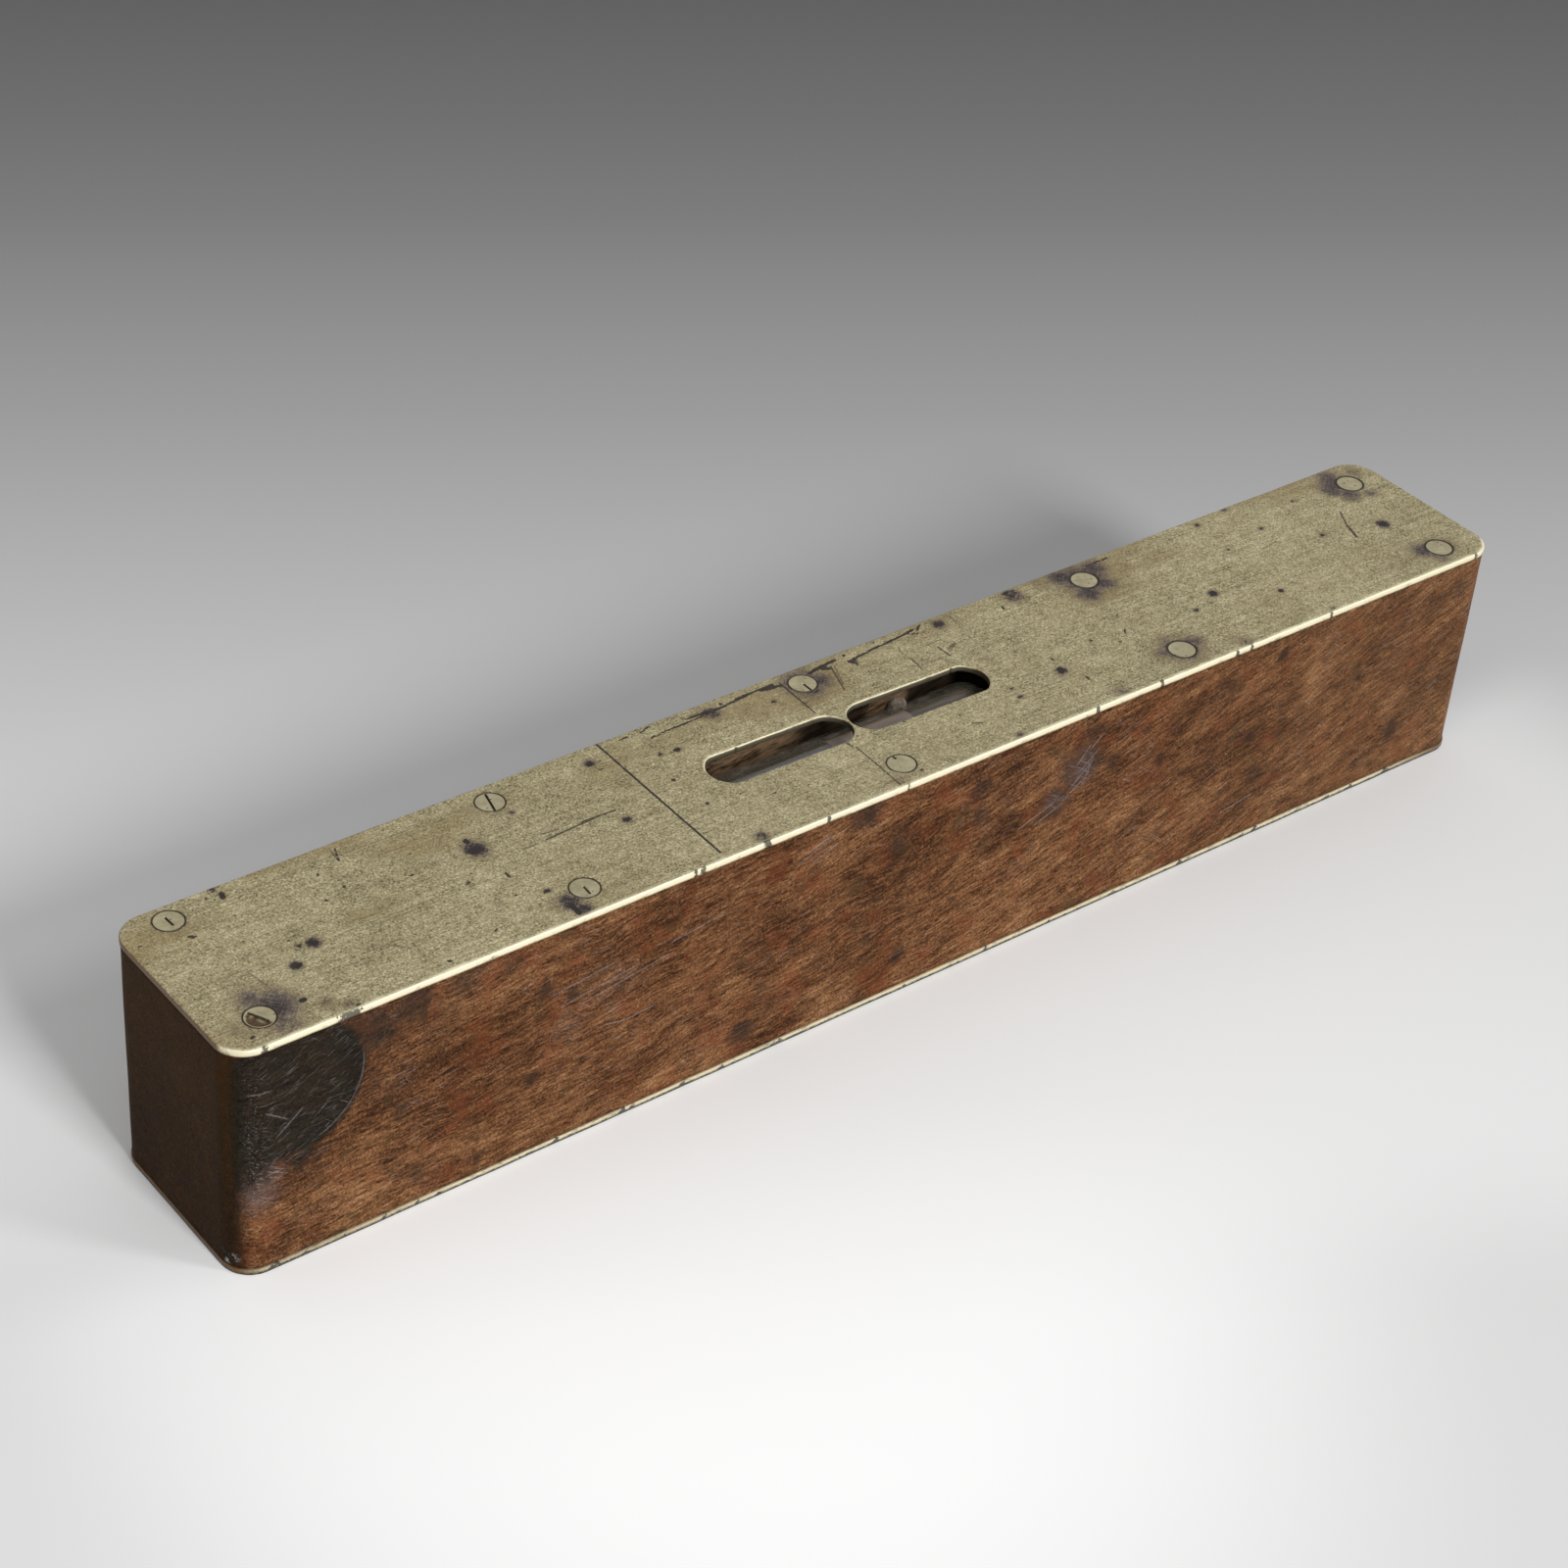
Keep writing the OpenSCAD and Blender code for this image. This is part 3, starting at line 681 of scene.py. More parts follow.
# lines cut or scratched in the top plate: from x, y to x, y, width, depth
plateScratches = [
    (-49.9, 21.3, -50.4, -19, 0.36, 1.0), (-8.1, 19, -8.5, 6.8, 0.28, 0.9), (-9.7, -3.8, -9.3, -5.8, 0.3, 0.9),
    (-8.9, -6, -9.1, -13, 0.28, 0.85), (-9.1, -13, -9.5, -20.9, 0.28, 0.8), (-80, 1, -76.8, 1.1, 0.3, 0.6),
    (-74.8, 1.2, -62.5, 2.0, 0.35, 0.85), (-74.5, 3.0, -71, 2.6, 0.3, 0.7), (-66.5, 2.2, -58.8, 1.9, 0.35, 0.85),
    (4, 18.2, 1.2, 10.2, 0.3, 0.8), (4.8, 18, 2.0, 11.5, 0.25, 0.5), (19.6, 16.2, 18.8, 14.5, 0.3, 0.5),
    (19.3, 12, 18.6, 7.5, 0.28, 0.7), (26.3, 12.2, 26.5, 8.2, 0.35, 0.85), (27.5, 10.3, 30.3, 11.3, 0.6, 0.7),
    (35.3, 19.5, 35.3, 17, 0.3, 0.45), (34.1, 12, 34, 5, 0.25, 0.35), (40.5, 7.5, 40.4, 4.5, 0.25, 0.35),
    (-1, 18.2, 5, 19.3, 0.3, 0.5), (8, 17.6, 26, 19.3, 0.3, 0.5), (129.2, -2.8, 131, 2.2, 0.5, 0.9),
    (131, 2.2, 133.7, 6.8, 0.35, 0.8), (-138.5, -2.5, -137.5, -8, 0.25, 0.5), (-109, 19, -109, 15.5, 0.3, 0.6),
    (-139, 17, -79, 17.1, 0.25, 0.3), (-120, -2.2, -93, -2.3, 0.25, 0.3), (-18, -10.7, -8, -10.7, 0.25, 0.4),
    (15, -11.7, 17, -12.8, 0.4, 0.7), (108.5, 4.6, 113.5, 5.3, 0.3, 0.5), (-81.8, -17.5, -82, -20, 0.7, 0.9)]
plateBrass = agedBrass("agedPlateBrass", plateScratches)
addPiece("topPlate", plateVerts, plateFaces, plateBrass, "level",
         ["top_plate_left", "top_plate_middle", "top_plate_right"], plateMarks)


# nicks along the front edge of the sole plate: x, reach
sole = {"step": 1.15, "edgeRound": 0.25, "nickWidth": 0.6, "nickDepth": 0.6, "nicks": [
    (-145, 1.4), (-139, 0.5), (-131, 0.6), (-123, 0.7), (-116, 0.6), (-111, 0.4), (-94.5, 0.8), (-86, 0.4),
    (-82, 0.6), (-75, 0.7), (-71, 0.6), (-69, 0.7), (-57.5, 0.9), (-48, 0.4), (-35, 1.3), (-21.5, 0.7), (-12, 0.4),
    (-3, 0.8), (17, 0.7), (25, 0.4), (34, 0.7), (52, 0.8), (70, 0.6), (88, 0.8), (92, 1.1), (104, 0.8), (113, 1.0),
    (120, 1.2), (131, 1.5)]}


def soleField(x, y):
    worn = 0.05 * softNoise(x, y, 13, 7.0) + 0.05
    edge = outlineField(x, y) + sole["edgeRound"] + worn
    holes = 0.03 - holeField(x, y, soleScrews, plate["holeGap"])
    stack = np.stack([edge, holes])
    return stack.max(0), stack.argmax(0)


soleT = soleHigh[2] - soleLow[2]
bend = sole["edgeRound"]
soleDrops = [
    [(0.4 * bend, 0.08 * bend), (0.8 * bend, 0.4 * bend), (bend, bend), (bend, soleT)],
    [(0.03, 0.02), (0.05, 0.08), (0.6, 0.7), (1.1, soleT)]]
columns = gridLines(levelLow[0], levelHigh[0], sole["step"])
rows = gridLines(levelLow[1], levelHigh[1], sole["step"])
soleVerts, soleFaces = cutSheet(columns, rows, soleField, soleDrops, 0.0)
soleVerts[:, 2] *= -1      # made face up, then turned over with its face on the ground
soleFaces = [face[::-1] for face in soleFaces]
px, py, pz = soleVerts.T
# how far along the sole's front edge its painted highlight reaches
soleHighlightSpread = ramp(px, -151.5, -147) * ramp(px, 152, 120) * (0.5 + 0.5 * ramp(px, -140, -95))      # less near the ends
soleNicks = [(at, reach * sole["nickWidth"], sole["nickDepth"]) for at, reach in sole["nicks"]]
soleMarks = {
    "rub": brightRim(px, py, 0.7) * ramp(pz, 0.4, 0.6) * soleHighlightSpread,
    # the sole's nicks, and painted shade on the lowest band of its wall where it meets the ground
    "nick": np.maximum(nicksAlong(px, py, soleNicks), ramp(pz, 0.34, 0.22)),
    "under": 0 * pz,
    "wall": np.ones(len(px))}
soleBrass = agedBrass("agedSoleBrass")
addPiece("solePlate", soleVerts, soleFaces, soleBrass, "level", ["sole_plate"], soleMarks)
print("plates done")


stock = {"step": 0.72, "shy": 0.12, "edge": 0.5, "corner": 6.0, "spineShort": 21, "mortiseGap": 0.06,
         "middleHeight": 25.4}
# the dark patch near the left end of the front, and the pale ring in it: how far left of the middle, height, radius
sootPatch = {"left": 141, "height": 38.5, "radius": 17, "ringHeight": 39.5, "ringRadius": 14.2}


def stockRings():
    # one loop of points carried along a path: from a line under the foot out to the foot's edge, up the side, in over
    # the top to the mortise, down its wall and in to a line along its floor
    count = int(2 * (levelSize[0] + levelSize[1]) / stock["step"] / 2) * 2
    foot, head, floor = soleHigh[2], plateLow[2], bedLow[2]
    outer, out = roundedLoop(levelSize[0] - 2 * stock["shy"], levelSize[1] - 2 * stock["shy"], stock["corner"], count)
    mortiseL, mortiseW = (bedHigh - bedLow)[:2] + stock["mortiseGap"]
    hole, _ = roundedLoop(mortiseL, mortiseW, mortiseW / 2 - 0.001, count)
    lip = hole + windowMiddle[:2]
    rings = []

    def spineOf(loop, halfLength, halfWidth):
        # the line a loop is flattened onto
        return np.column_stack([np.clip(loop[:, 0], -halfLength, halfLength), np.sign(loop[:, 1]) * halfWidth])

    def blend(start, end, share):
        return start * (1 - share) + end * share

    def ring(loop, height):
        rings.append(np.column_stack([loop, np.full(count, height)]))

    spine = spineOf(outer, levelSize[0] / 2 - stock["spineShort"], 0.02)
    holeSpine = spineOf(hole, (mortiseL - mortiseW) / 2, 0.01)
    for share in (0, 0.4, 0.8, 0.97):      # under the foot
        ring(blend(spine, outer, share), foot)
    edge = stock["edge"]
    bends = [(-edge, 0.0), (-0.55 * edge, 0.12 * edge), (-0.2 * edge, 0.4 * edge)]
    for inset, lift in bends:
        ring(outer + out * inset * 0.6, foot + lift)
    for height in np.arange(foot + 0.6, head - 0.59, stock["step"]):      # the sides
        ring(outer, height)
    for inset, lift in bends[::-1]:
        ring(outer + out * inset * 0.6, head - lift)
    sideLast = len(rings)
    for share in (0.06, 0.3, 0.6, 0.9):      # over the top
        ring(blend(outer - out * edge, lip, share), head)
    for height in [head, head - 0.25] + list(np.linspace(head - 0.9, floor + 0.3, 22)):      # the wall of the mortise
        ring(lip, height)
    for share in (0.02, 0.5, 1):      # its floor
        ring(blend(hole, holeSpine, share) + windowMiddle[:2], floor)
    return np.array(rings), np.column_stack([out, np.zeros(count)]), sideLast


rings, outward, sideLast = stockRings()
stockVerts, stockFaces = loft(rings)
sideways = np.tile(outward, (len(rings), 1))
row = np.repeat(np.arange(len(rings)), rings.shape[1])
px, py, pz = stockVerts.T
worn = np.where((row >= 4) & (row < sideLast), 1.0, 0.0)
dents = [      # x, z, radius, depth
    (-105, 8, 2.5, 0.25), (-60, 31, 2.0, 0.15), (116, 29.5, 1.6, 0.3), (46, 34, 1.4, 0.2), (91, 44, 1.5, 0.2),
    (-20, 20, 3, 0.12), (84, 26, 2.0, 0.2)]
dent = blot(px, pz, dents) * (py < 0)
hollow = 0.07 * softNoise(px, py, pz, 17.0) + 0.035 * softNoise(px, py, pz, 4.5) + 0.07
stockVerts = stockVerts - sideways * (worn * (hollow + dent))[:, None]
print("stock worked out:", len(stockVerts), "points")

# dark and dusty blots on the front: x, z, radius, strength
stockSoot = [
    (-150, 26, 9, 1.0), (-152, 40, 9, 1.4), (-144, 47, 8, 1.2), (-140, 24, 6, 0.8), (-122, 43, 8, 0.62),
    (-115, 46, 7, 0.5), (-122, 13, 7, 0.5), (-127, 20, 5, 0.45)]
stockSmoke = [
    (-126, 45, 8, 0.9), (-117, 47, 7, 0.8), (-107, 48, 6, 0.7), (-125, 33, 5, 0.6), (-137, 22, 8, 0.5),
    (-96, 47, 4, 0.6), (-9, 37, 6, 0.65), (-18, 48, 5, 0.9), (11, 42, 3.5, 0.8), (11, 36, 3.5, 0.7),
    (37, 38, 7, 1.0), (31, 31, 6, 0.8), (39, 45, 4, 0.7), (-44, 7, 4, 0.9), (76, 42, 6, 0.6), (88, 16, 4, 0.7),
    (85, 27, 3, 0.7), (130, 12, 4.5, 0.8), (91, 44.5, 1.8, 1.0), (46, 35, 2.5, 0.8), (59, 31, 2, 0.9),
    (-89.5, 37.5, 2.2, 1.0), (-83.5, 34, 2, 1.0), (-92, 18, 2.2, 0.8), (-116, 7.5, 3, 0.7), (-103, 5, 2, 0.8),
    (-15, 17, 2, 0.7), (-6.5, 9, 2.5, 0.8), (-40, 25, 3, 0.5), (60, 12, 5, 0.4), (112, 40, 4, 0.4),
    (-120, 30, 8, 0.5), (-110, 42, 8, 0.5), (-78, 36, 5, 0.4), (-84, 27, 6, 0.4), (62, 37, 4, 0.5),
    (143, 43, 5, 0.6), (109, 35, 2, 0.6), (116, 30, 1.6, 0.8), (20, 30, 5, 0.5), (0, 26, 5, 0.35)]
stockHaze = [
    (-149, 20, 7, 1.0), (-150, 31, 5, 0.7), (37, 37, 6, 0.7), (31, 32, 5, 0.5), (-84, 27, 7, 0.45),
    (-74, 33, 8, 0.4), (-28, 44, 5, 0.3)]
front = (py < -levelSize[1] / 2 + 3).astype(float)
fromPatch = np.hypot(px + sootPatch["left"], pz - sootPatch["height"])
sootDisc = ramp(sootPatch["radius"] - fromPatch, 0, 5.0) * 1.25
stockMarks = {
    "soot": np.maximum(sootDisc, blot(px, pz, stockSoot)) * front,
    "smoke": blot(px, pz, stockSmoke) * front,
    "haze": blot(px, pz, stockHaze) * front,
    # the wood's top and bottom rims, where painted shade goes next to the plates
    "rub": ramp(np.abs(pz - stock["middleHeight"]), 22.9, 24.2),
    "endGrain": ramp(np.abs(px), levelSize[0] / 2 - 2.2, levelSize[0] / 2 - 0.5),
    "inside": np.where(row >= sideLast + 3, 1.0, 0.0),
    "glint": ramp(1.7 - np.hypot((py + 17) / 1.3, pz - 3.0), 0, 0.8) * (px < -147)}
# scratches that show on the front: from x, z to x, z
frontScratches = [
    (-76, 23.6, -71.5, 22.7), (-71.5, 22.7, -65, 23.3), (-86, 32.2, -69, 34.6), (-82, 30.8, -62, 34.0),
    (-76, 26.2, -73, 26.8), (-88, 35.5, -76, 37.2), (-33, 42.5, -25, 45.6), (-31.5, 44, -26, 46.4),
    (-30, 41.4, -24.5, 43.5), (33, 30.5, 38, 34.2), (35, 33.5, 39.5, 37.4), (37, 36.5, 41.5, 40.4),
    (38.2, 33, 40, 38.5), (36, 38.5, 39, 42.2), (22, 28.2, 31, 31.4), (26, 27.5, 33, 30.2), (39, 41, 42.5, 44),
    (-149, 41, -145, 40.6), (-146, 36, -142, 33), (-144, 30, -139, 34), (80, 9.4, 89, 11), (-62, 36.5, -50, 38.2)]


def figuredWood():
    finish = {"deep": (40, 24, 14), "dark": (70, 43, 25), "mid": (101, 67, 43), "light": (132, 92, 61),
              "bright": (160, 122, 86), "red": (116, 61, 36), "olive": (72, 56, 36), "umber": (98, 76, 54),
              "smoke": (48, 36, 30), "haze": (122, 104, 100), "scuff": (170, 164, 164), "rimShade": (38, 27, 21),
              "soot": (13, 13, 10), "ash": (38, 37, 30), "cornerLow": (38, 24, 17), "cornerHigh": (92, 42, 22),
              "endDark": (28, 18, 7), "endLight": (62, 43, 20), "inner": (24, 17, 10), "dust": (112, 90, 68),
              "shade": (22, 16, 12), "glint": (206, 214, 222)}
    material, body, place = newMaterial("figuredHardwood", Specular_IOR_Level=0.04)
    x, y, z = place.parts()
    # the fibres run along the stock and climb more and more towards the right
    fromLeft = x + 150
    climb = z - fromLeft * 0.03 - fromLeft * fromLeft * 0.0005
    warp = place.noise(16, 3, 0.5, shift=(4, 0, 0)) * 5
    grain = place.node("CombineXYZ", None, {0: x, 1: y, 2: climb + warp})
    figure = grain.noise(9, 4, 0.6, stretch=(2.2, 1, 1), twist=0.6)
    ribbon = grain.noise(2.6, 4, 0.65, stretch=(3.4, 1, 1), twist=0.3)
    strand = grain.noise(0.9, 3, 0.6, stretch=(5, 1, 1))
    fibre = grain.noise(0.36, 2, 0.6, stretch=(8, 1, 1), shift=(4, 2, 8))
    grit = place.noise(0.5, 3, 0.7)
    patchy = place.noise(24, 3, 0.5, shift=(9, 1, 3))
    tone = (0.49 + (figure - 0.5) * 0.85 + (ribbon - 0.5) * 0.8 + (strand - 0.5) * 0.5 + (fibre - 0.5) * 1.15 +
            (grit - 0.5) * 1.5 + (patchy - 0.5) * 0.6)
    tone = tone + z.between(20, 2) * 0.04 + x.between(40, 140) * 0.05
    colour = tone.bands((0.0, finish["deep"]), (0.28, finish["dark"]), (0.5, finish["mid"]), (0.76, finish["light"]),
                        (1.0, finish["bright"]))
    colour = (place.noise(7, 4, 0.6, shift=(1, 9, 4)).between(0.5, 0.68) * 0.4).tint(colour, finish["red"])
    colour = (place.noise(5, 4, 0.6, shift=(8, 2, 6)).between(0.56, 0.7) * 0.55).tint(colour, finish["olive"])
    colour = (x.between(40, 130) * 0.22).tint(colour, finish["umber"])
    pore = grain.noise(0.42, 1, 0.4, stretch=(5, 1, 1), shift=(7, 3, 1)).between(0.34, 0.28)
    colour = (pore * 0.75).tint(colour, finish["deep"])
    ragged = place.noise(1.7, 5, 0.7)
    streaked = ragged * 0.8 + strand * 0.5
    smoke = (place.mark("smoke") * (streaked * 1.5 - 0.1)).between(0.2, 0.75)
    colour = (smoke * 0.75).tint(colour, finish["smoke"])
    haze = place.mark("haze") * (streaked * 1.4 - 0.2)
    colour = (haze.between(0.15, 0.9) * 0.55).tint(colour, finish["haze"])
    corner = y.between(-12, -18) * x.between(-148.5, -151.5)
    cornerTone = (z.between(38, 46) * 0.6).tint(finish["cornerLow"], finish["cornerHigh"])
    colour = (corner * ragged.between(0.3, 0.6, 0.6, 0.95)).tint(colour, cornerTone)
    soot = (place.mark("soot") * (0.35 + ragged * 1.1)).between(0.26, 0.85)
    sootTone = (strand * 0.6 + grit * 0.5).between(0.35, 0.75).tint(finish["soot"], finish["ash"])
    colour = (soot * 0.93).tint(colour, sootTone)
    # pale scratches through the polish: stray ones, those on the front that show, and the ring in the dark patch
    stray = (grain.noise(1.0, 1, 0.4, stretch=(6, 0.2, 0.2)).between(0.69, 0.74) +
             place.noise(1.0, 1, 0.4, stretch=(5, 0.18, 0.18), turn=(0, -38, 0)).between(0.71, 0.75))
    stray = stray * place.noise(12, 3, 0.5, shift=(60, 0, 0)).between(0.44, 0.6) * 0.5
    sooty = place.noise(1.0, 1, 0.4, stretch=(3, 0.2, 0.2), turn=(0, 30, 0), shift=(1, 5, 0)).between(0.66, 0.72)
    hazy = place.noise(1.0, 1, 0.4, stretch=(3, 0.22, 0.22), turn=(0, -32, 0), shift=(3, 1, 0)).between(0.6, 0.68)
    lines = stray + sooty * soot * 0.35 + hazy * haze.between(0.1, 0.5) * 0.5
    for ax, az, bx, bz in frontScratches:
        lines = lines.atLeast(scratch((x, z), ax, az, bx, bz, 0.24, 0.8) * 0.42)
    ringX, ringZ = x + sootPatch["left"], z - sootPatch["ringHeight"]
    reach = (ringX * ringX + ringZ * ringZ) ** 0.5
    ring = abs(reach - sootPatch["ringRadius"]).between(0.24, 0.06) * x.between(-137, -134) * z.between(42, 39)
    lines = lines.atLeast(ring * 0.32) * y.between(-19, -20.5) * grit.between(0.3, 0.55, 0.4, 1.0)
    colour = (lines * 0.62).tint(colour, finish["scuff"])
    # a dark band along the wood's top and bottom rims: painted shade where it meets the plates
    rim = place.mark("rub") * ragged.between(0.42, 0.56)
    colour = (rim * 0.6).tint(colour, finish["rimShade"])
    # the ends show end grain with painted shade that darkens them towards the bottom; the mortise is grey with dust,
    # with painted shade making it black in its deepest parts and lower down
    end = place.mark("endGrain")
    endTone = (0.5 + (grit - 0.5) * 1.2 + (ribbon - 0.5) * 0.6 + (fibre - 0.5) * 0.6 + z.between(5, 45) * 0.3 - 0.1)
    endTone = endTone.between(0.1, 0.9)
    colour = (end * 0.85).tint(colour, endTone.tint(finish["endDark"], finish["endLight"]))
    inside = place.mark("inside")
    dusty = (strand * 0.9 + ribbon * 0.6).between(0.52, 0.88).tint(finish["inner"], finish["dust"])
    colour = inside.tint(colour, dusty)
    paintedDeepShade = ((x.between(-15, -8) - x.between(4.5, 7)).atLeast(x.between(15, 17)) + z.between(42, 37)).clamp()
    colour = (inside * paintedDeepShade * 0.9).tint(colour, finish["shade"])
    glint = place.mark("glint") * ragged.between(0.48, 0.62)
    colour = glint.tint(colour, finish["glint"])
    feed(body, Base_Color=colour)
    feed(body, Roughness=0.5 + (ribbon - 0.5) * 0.3 + pore * 0.15 - soot * 0.08 + end * 0.1 + inside * 0.3)
    emboss(body, tone * 0.5 - pore * 0.6 - lines * 0.5, 0.06)
    return material


hardwood = figuredWood()
addPiece("stock", stockVerts, stockFaces, hardwood, "level", ["stock"], stockMarks)
print("stock done")


screw = {"shank": 2.85, "core": 0.68, "pitch": 1.15, "plain": 0.36, "tip": 2.3, "length": 16.0, "bevel": 0.1,
         "slotWidth": 0.5, "slotDepth": 0.35, "sunk": 0.01}
# what is left of each driver's slot: length, turn in degrees, shift along itself, depth share
slotsLeft = [
    (4.2, 118, 0.4, 1.0), (2.8, 93, 0, 0.8), (2.5, 85, -0.6, 0.7), (11, 76, 0, 1.0), (1.2, 90, 2.4, 0.7),
    (2.7, 90, -1.4, 1.0), (0, 0, 0, 0), (0, 0, 0, 0), (0, 0, 0, 0), (0, 0, 0, 0)]


def screwShape(radius, slotLength, slotShift, slotShare, seed, broken):
    # The head is a disc of chords: rows at heights y = r sin(a), each run across from rim to rim. Below it, the same
    # rim shrinks down a cone to the shank, whose radius rises and falls along a helix, and ends in a point.
    half = screw["slotWidth"] / 2
    slotRows = np.arcsin(np.array([-1.6, -1.05, -0.95, 0.95, 1.05, 1.6]) * half / radius)
    angles = np.sort(np.concatenate([np.linspace(-math.pi / 2, math.pi / 2, 33)[1:-1], slotRows]))
    a, s = np.meshgrid(angles, np.linspace(-1, 1, 41), indexing="ij")
    flatR = radius - screw["bevel"]
    y = flatR * np.sin(a)
    x = flatR * np.cos(a) * s
    z = -0.012 - 0.02 * (np.hypot(x, y) / radius) ** 2 + 0.01 * softNoise(x, y, seed, 1.1)
    if slotLength > 0:
        inSlot = (np.abs(y) < half) * ramp(slotLength / 2 + 0.25 - np.abs(x - slotShift), 0, 0.5)
        z = z - inSlot * screw["slotDepth"] * slotShare
    if broken:      # one half has broken away beside the slot
        inBreak = ramp(y, -0.3, 0.1) * ramp(radius - np.hypot(x, y), 0.2, 0.6)
        z = z - inBreak * (0.25 + 0.15 * softNoise(x, y, seed + 3, 0.7))
    rows, cols = z.shape
    index = np.arange(rows * cols).reshape(rows, cols)
    south, north = rows * cols, rows * cols + 1
    quads = np.stack([index[1:, :-1], index[1:, 1:], index[:-1, 1:], index[:-1, :-1]], -1)
    faces = quads.reshape(-1, 4).tolist()
    faces += np.stack([np.full(cols - 1, south), index[0, :-1], index[0, 1:]], -1).tolist()
    faces += np.stack([np.full(cols - 1, north), index[-1, 1:], index[-1, :-1]], -1).tolist()
    points = [np.stack([x, y, z], -1).reshape(-1, 3), np.array([[0, -flatR, -0.03], [0, flatR, -0.03]])]
    rim = np.concatenate([index[:, -1], [north], index[::-1, 0], [south]])
    turn = np.concatenate([angles, [math.pi / 2], math.pi - angles[::-1], [-math.pi / 2]])
    n = len(rim)
    shank, length = screw["shank"] / 2, screw["length"]
    core = shank * screw["core"]
    headDepth = radius - shank
    profile = [(radius - 0.03, -0.045), (radius, -0.12)]
    profile += [(radius + (shank - radius) * t, -0.12 - (headDepth - 0.05) * t) for t in np.linspace(0.2, 1, 5)]
    levels = [(np.full(n, r), h) for r, h in profile]
    for depth in np.linspace(-headDepth - 0.3, -length + 0.05, 70):
        around = np.full(n, shank)
        if depth <= -length * screw["plain"]:
            thread = np.abs(((depth / screw["pitch"] + turn / (2 * math.pi)) % 1) - 0.5) * 2
            around = core + (shank - core) * np.clip(1.6 * thread - 0.5, 0, 1)
            around = around * min(1.0, (length + depth) / screw["tip"])
        levels.append((around, depth))
    base, before = rows * cols + 2, rim
    for r, h in levels:
        points.append(np.stack([r * np.cos(turn), r * np.sin(turn), np.full(n, h)], -1))
        now = base + np.arange(n)
        faces += np.stack([now, np.roll(now, -1), np.roll(before, -1), before], -1).tolist()
        before, base = now, base + n
    points.append(np.array([[0, 0, -length]]))
    faces += np.stack([np.full(n, base), np.roll(before, -1), before], -1).tolist()
    return np.vstack(points), faces


def screwBrass():
    finish = {"mid": (190, 180, 145), "pale": (208, 199, 165), "dark": (160, 149, 115), "grime": (44, 36, 30),
              "rust": (116, 84, 54)}
    material, body, place = newMaterial("filedScrewBrass", Metallic=0.6, Roughness=0.38)
    cloud = place.noise(2.4, 4, 0.6)
    file = place.noise(1.0, 2, 0.5, stretch=(5, 0.18, 1), turn=(0, 0, 20))
    colour = (cloud * 0.8 + file * 0.4 - 0.1).between(0.25, 0.8).tint(finish["dark"], finish["pale"])
    colour = (place.noise(0.7, 3, 0.6).between(0.35, 0.65) * 0.4).tint(colour, finish["mid"])
    dirt = place.mark("dirt") * place.noise(0.6, 3, 0.6).between(0.2, 0.5, 0.6, 1.0)
    speck = (place.cells(1.5) - place.noise(0.5, 2, 0.5) * 0.14).between(0.1, 0.03)
    colour = (speck * 0.7).tint(colour, finish["grime"])
    rust = place.mark("rust") * place.noise(0.8, 3, 0.7).between(0.36, 0.5)
    colour = rust.tint(colour, finish["rust"])
    # darker where the head is sunk and at its rim
    colour = (dirt * (1 - rust * 0.6)).tint(colour, finish["grime"])
    feed(body, Base_Color=colour, Roughness=0.36 + cloud * 0.12 + dirt * 0.3)
    emboss(body, file * 0.4 + cloud * 0.2 - speck * 0.5, 0.03)
    return material


headBrass = screwBrass()
for number in range(10):
    for side, screws in (("top", topScrews), ("sole", soleScrews)):
        onTop = side == "top"
        broken = onTop and number == 0
        middleX, middleY, radius = screws[number]
        slotLength, slotTurn, slotShift, slotShare = slotsLeft[number] if onTop else (11, 20 * (number + 1), 0, 1.0)
        seed = number * 3 + (0 if onTop else 40)
        verts, faces = screwShape(radius, slotLength, slotShift, slotShare, seed, broken)
        x, y, z = verts.T
        # darker where the head is sunk below its face and in a thin ring at its rim
        dirt = np.maximum(ramp(-z, 0.1, 0.3), ramp(np.hypot(x, y), radius - 0.16, radius - 0.02) * 0.8)
        rust = ramp(y, -0.1, 0.2) * ramp(-z, 0.12, 0.3) * (-z < 0.8) * broken
        cosine, sine = math.cos(math.radians(slotTurn)), math.sin(math.radians(slotTurn))
        placed = np.stack([x * cosine - y * sine, x * sine + y * cosine, z], -1)
        if onTop:
            placed = placed + [middleX, middleY, plateHigh[2] - screw["sunk"]]
        else:      # turned over about X, head down
            placed = placed * [1, -1, -1] + [middleX, middleY, soleLow[2] + screw["sunk"]]
        addPiece(f"{side}Screw{number + 1}", placed, faces, headBrass, "level",
                 [f"{side}_screw_{number + 1}"], {"dirt": dirt, "rust": rust})
print("screws done")


vial = {"nib": 1.3, "nibLength": 1.6, "steps": 72}


def barrel(profile, count):
    # a profile of (place along the axis, radius) spun about the vial's axis; the first and last points lie on the axis
    angle = np.arange(count) / count * 2 * math.pi
    along, radius = np.array(profile).T
    x = along[1:-1, None] + 0 * angle
    y = radius[1:-1, None] * np.cos(angle)
    z = radius[1:-1, None] * np.sin(angle)
    m = len(along) - 2
    index = np.arange(m * count).reshape(m, count)
    after = np.roll(index, -1, 1)
    faces = np.stack([index[1:], after[1:], after[:-1], index[:-1]], -1).reshape(-1, 4).tolist()
    faces += np.stack([index[0], after[0], np.full(count, m * count)], -1).tolist()
    faces += np.stack([after[-1], index[-1], np.full(count, m * count + 1)], -1).tolist()
    verts = np.vstack([np.stack([x, y, z], -1).reshape(-1, 3), [[along[0], 0, 0]], [[along[-1], 0, 0]]])
    return verts + [windowMiddle[0], windowMiddle[1], vialHeight], faces


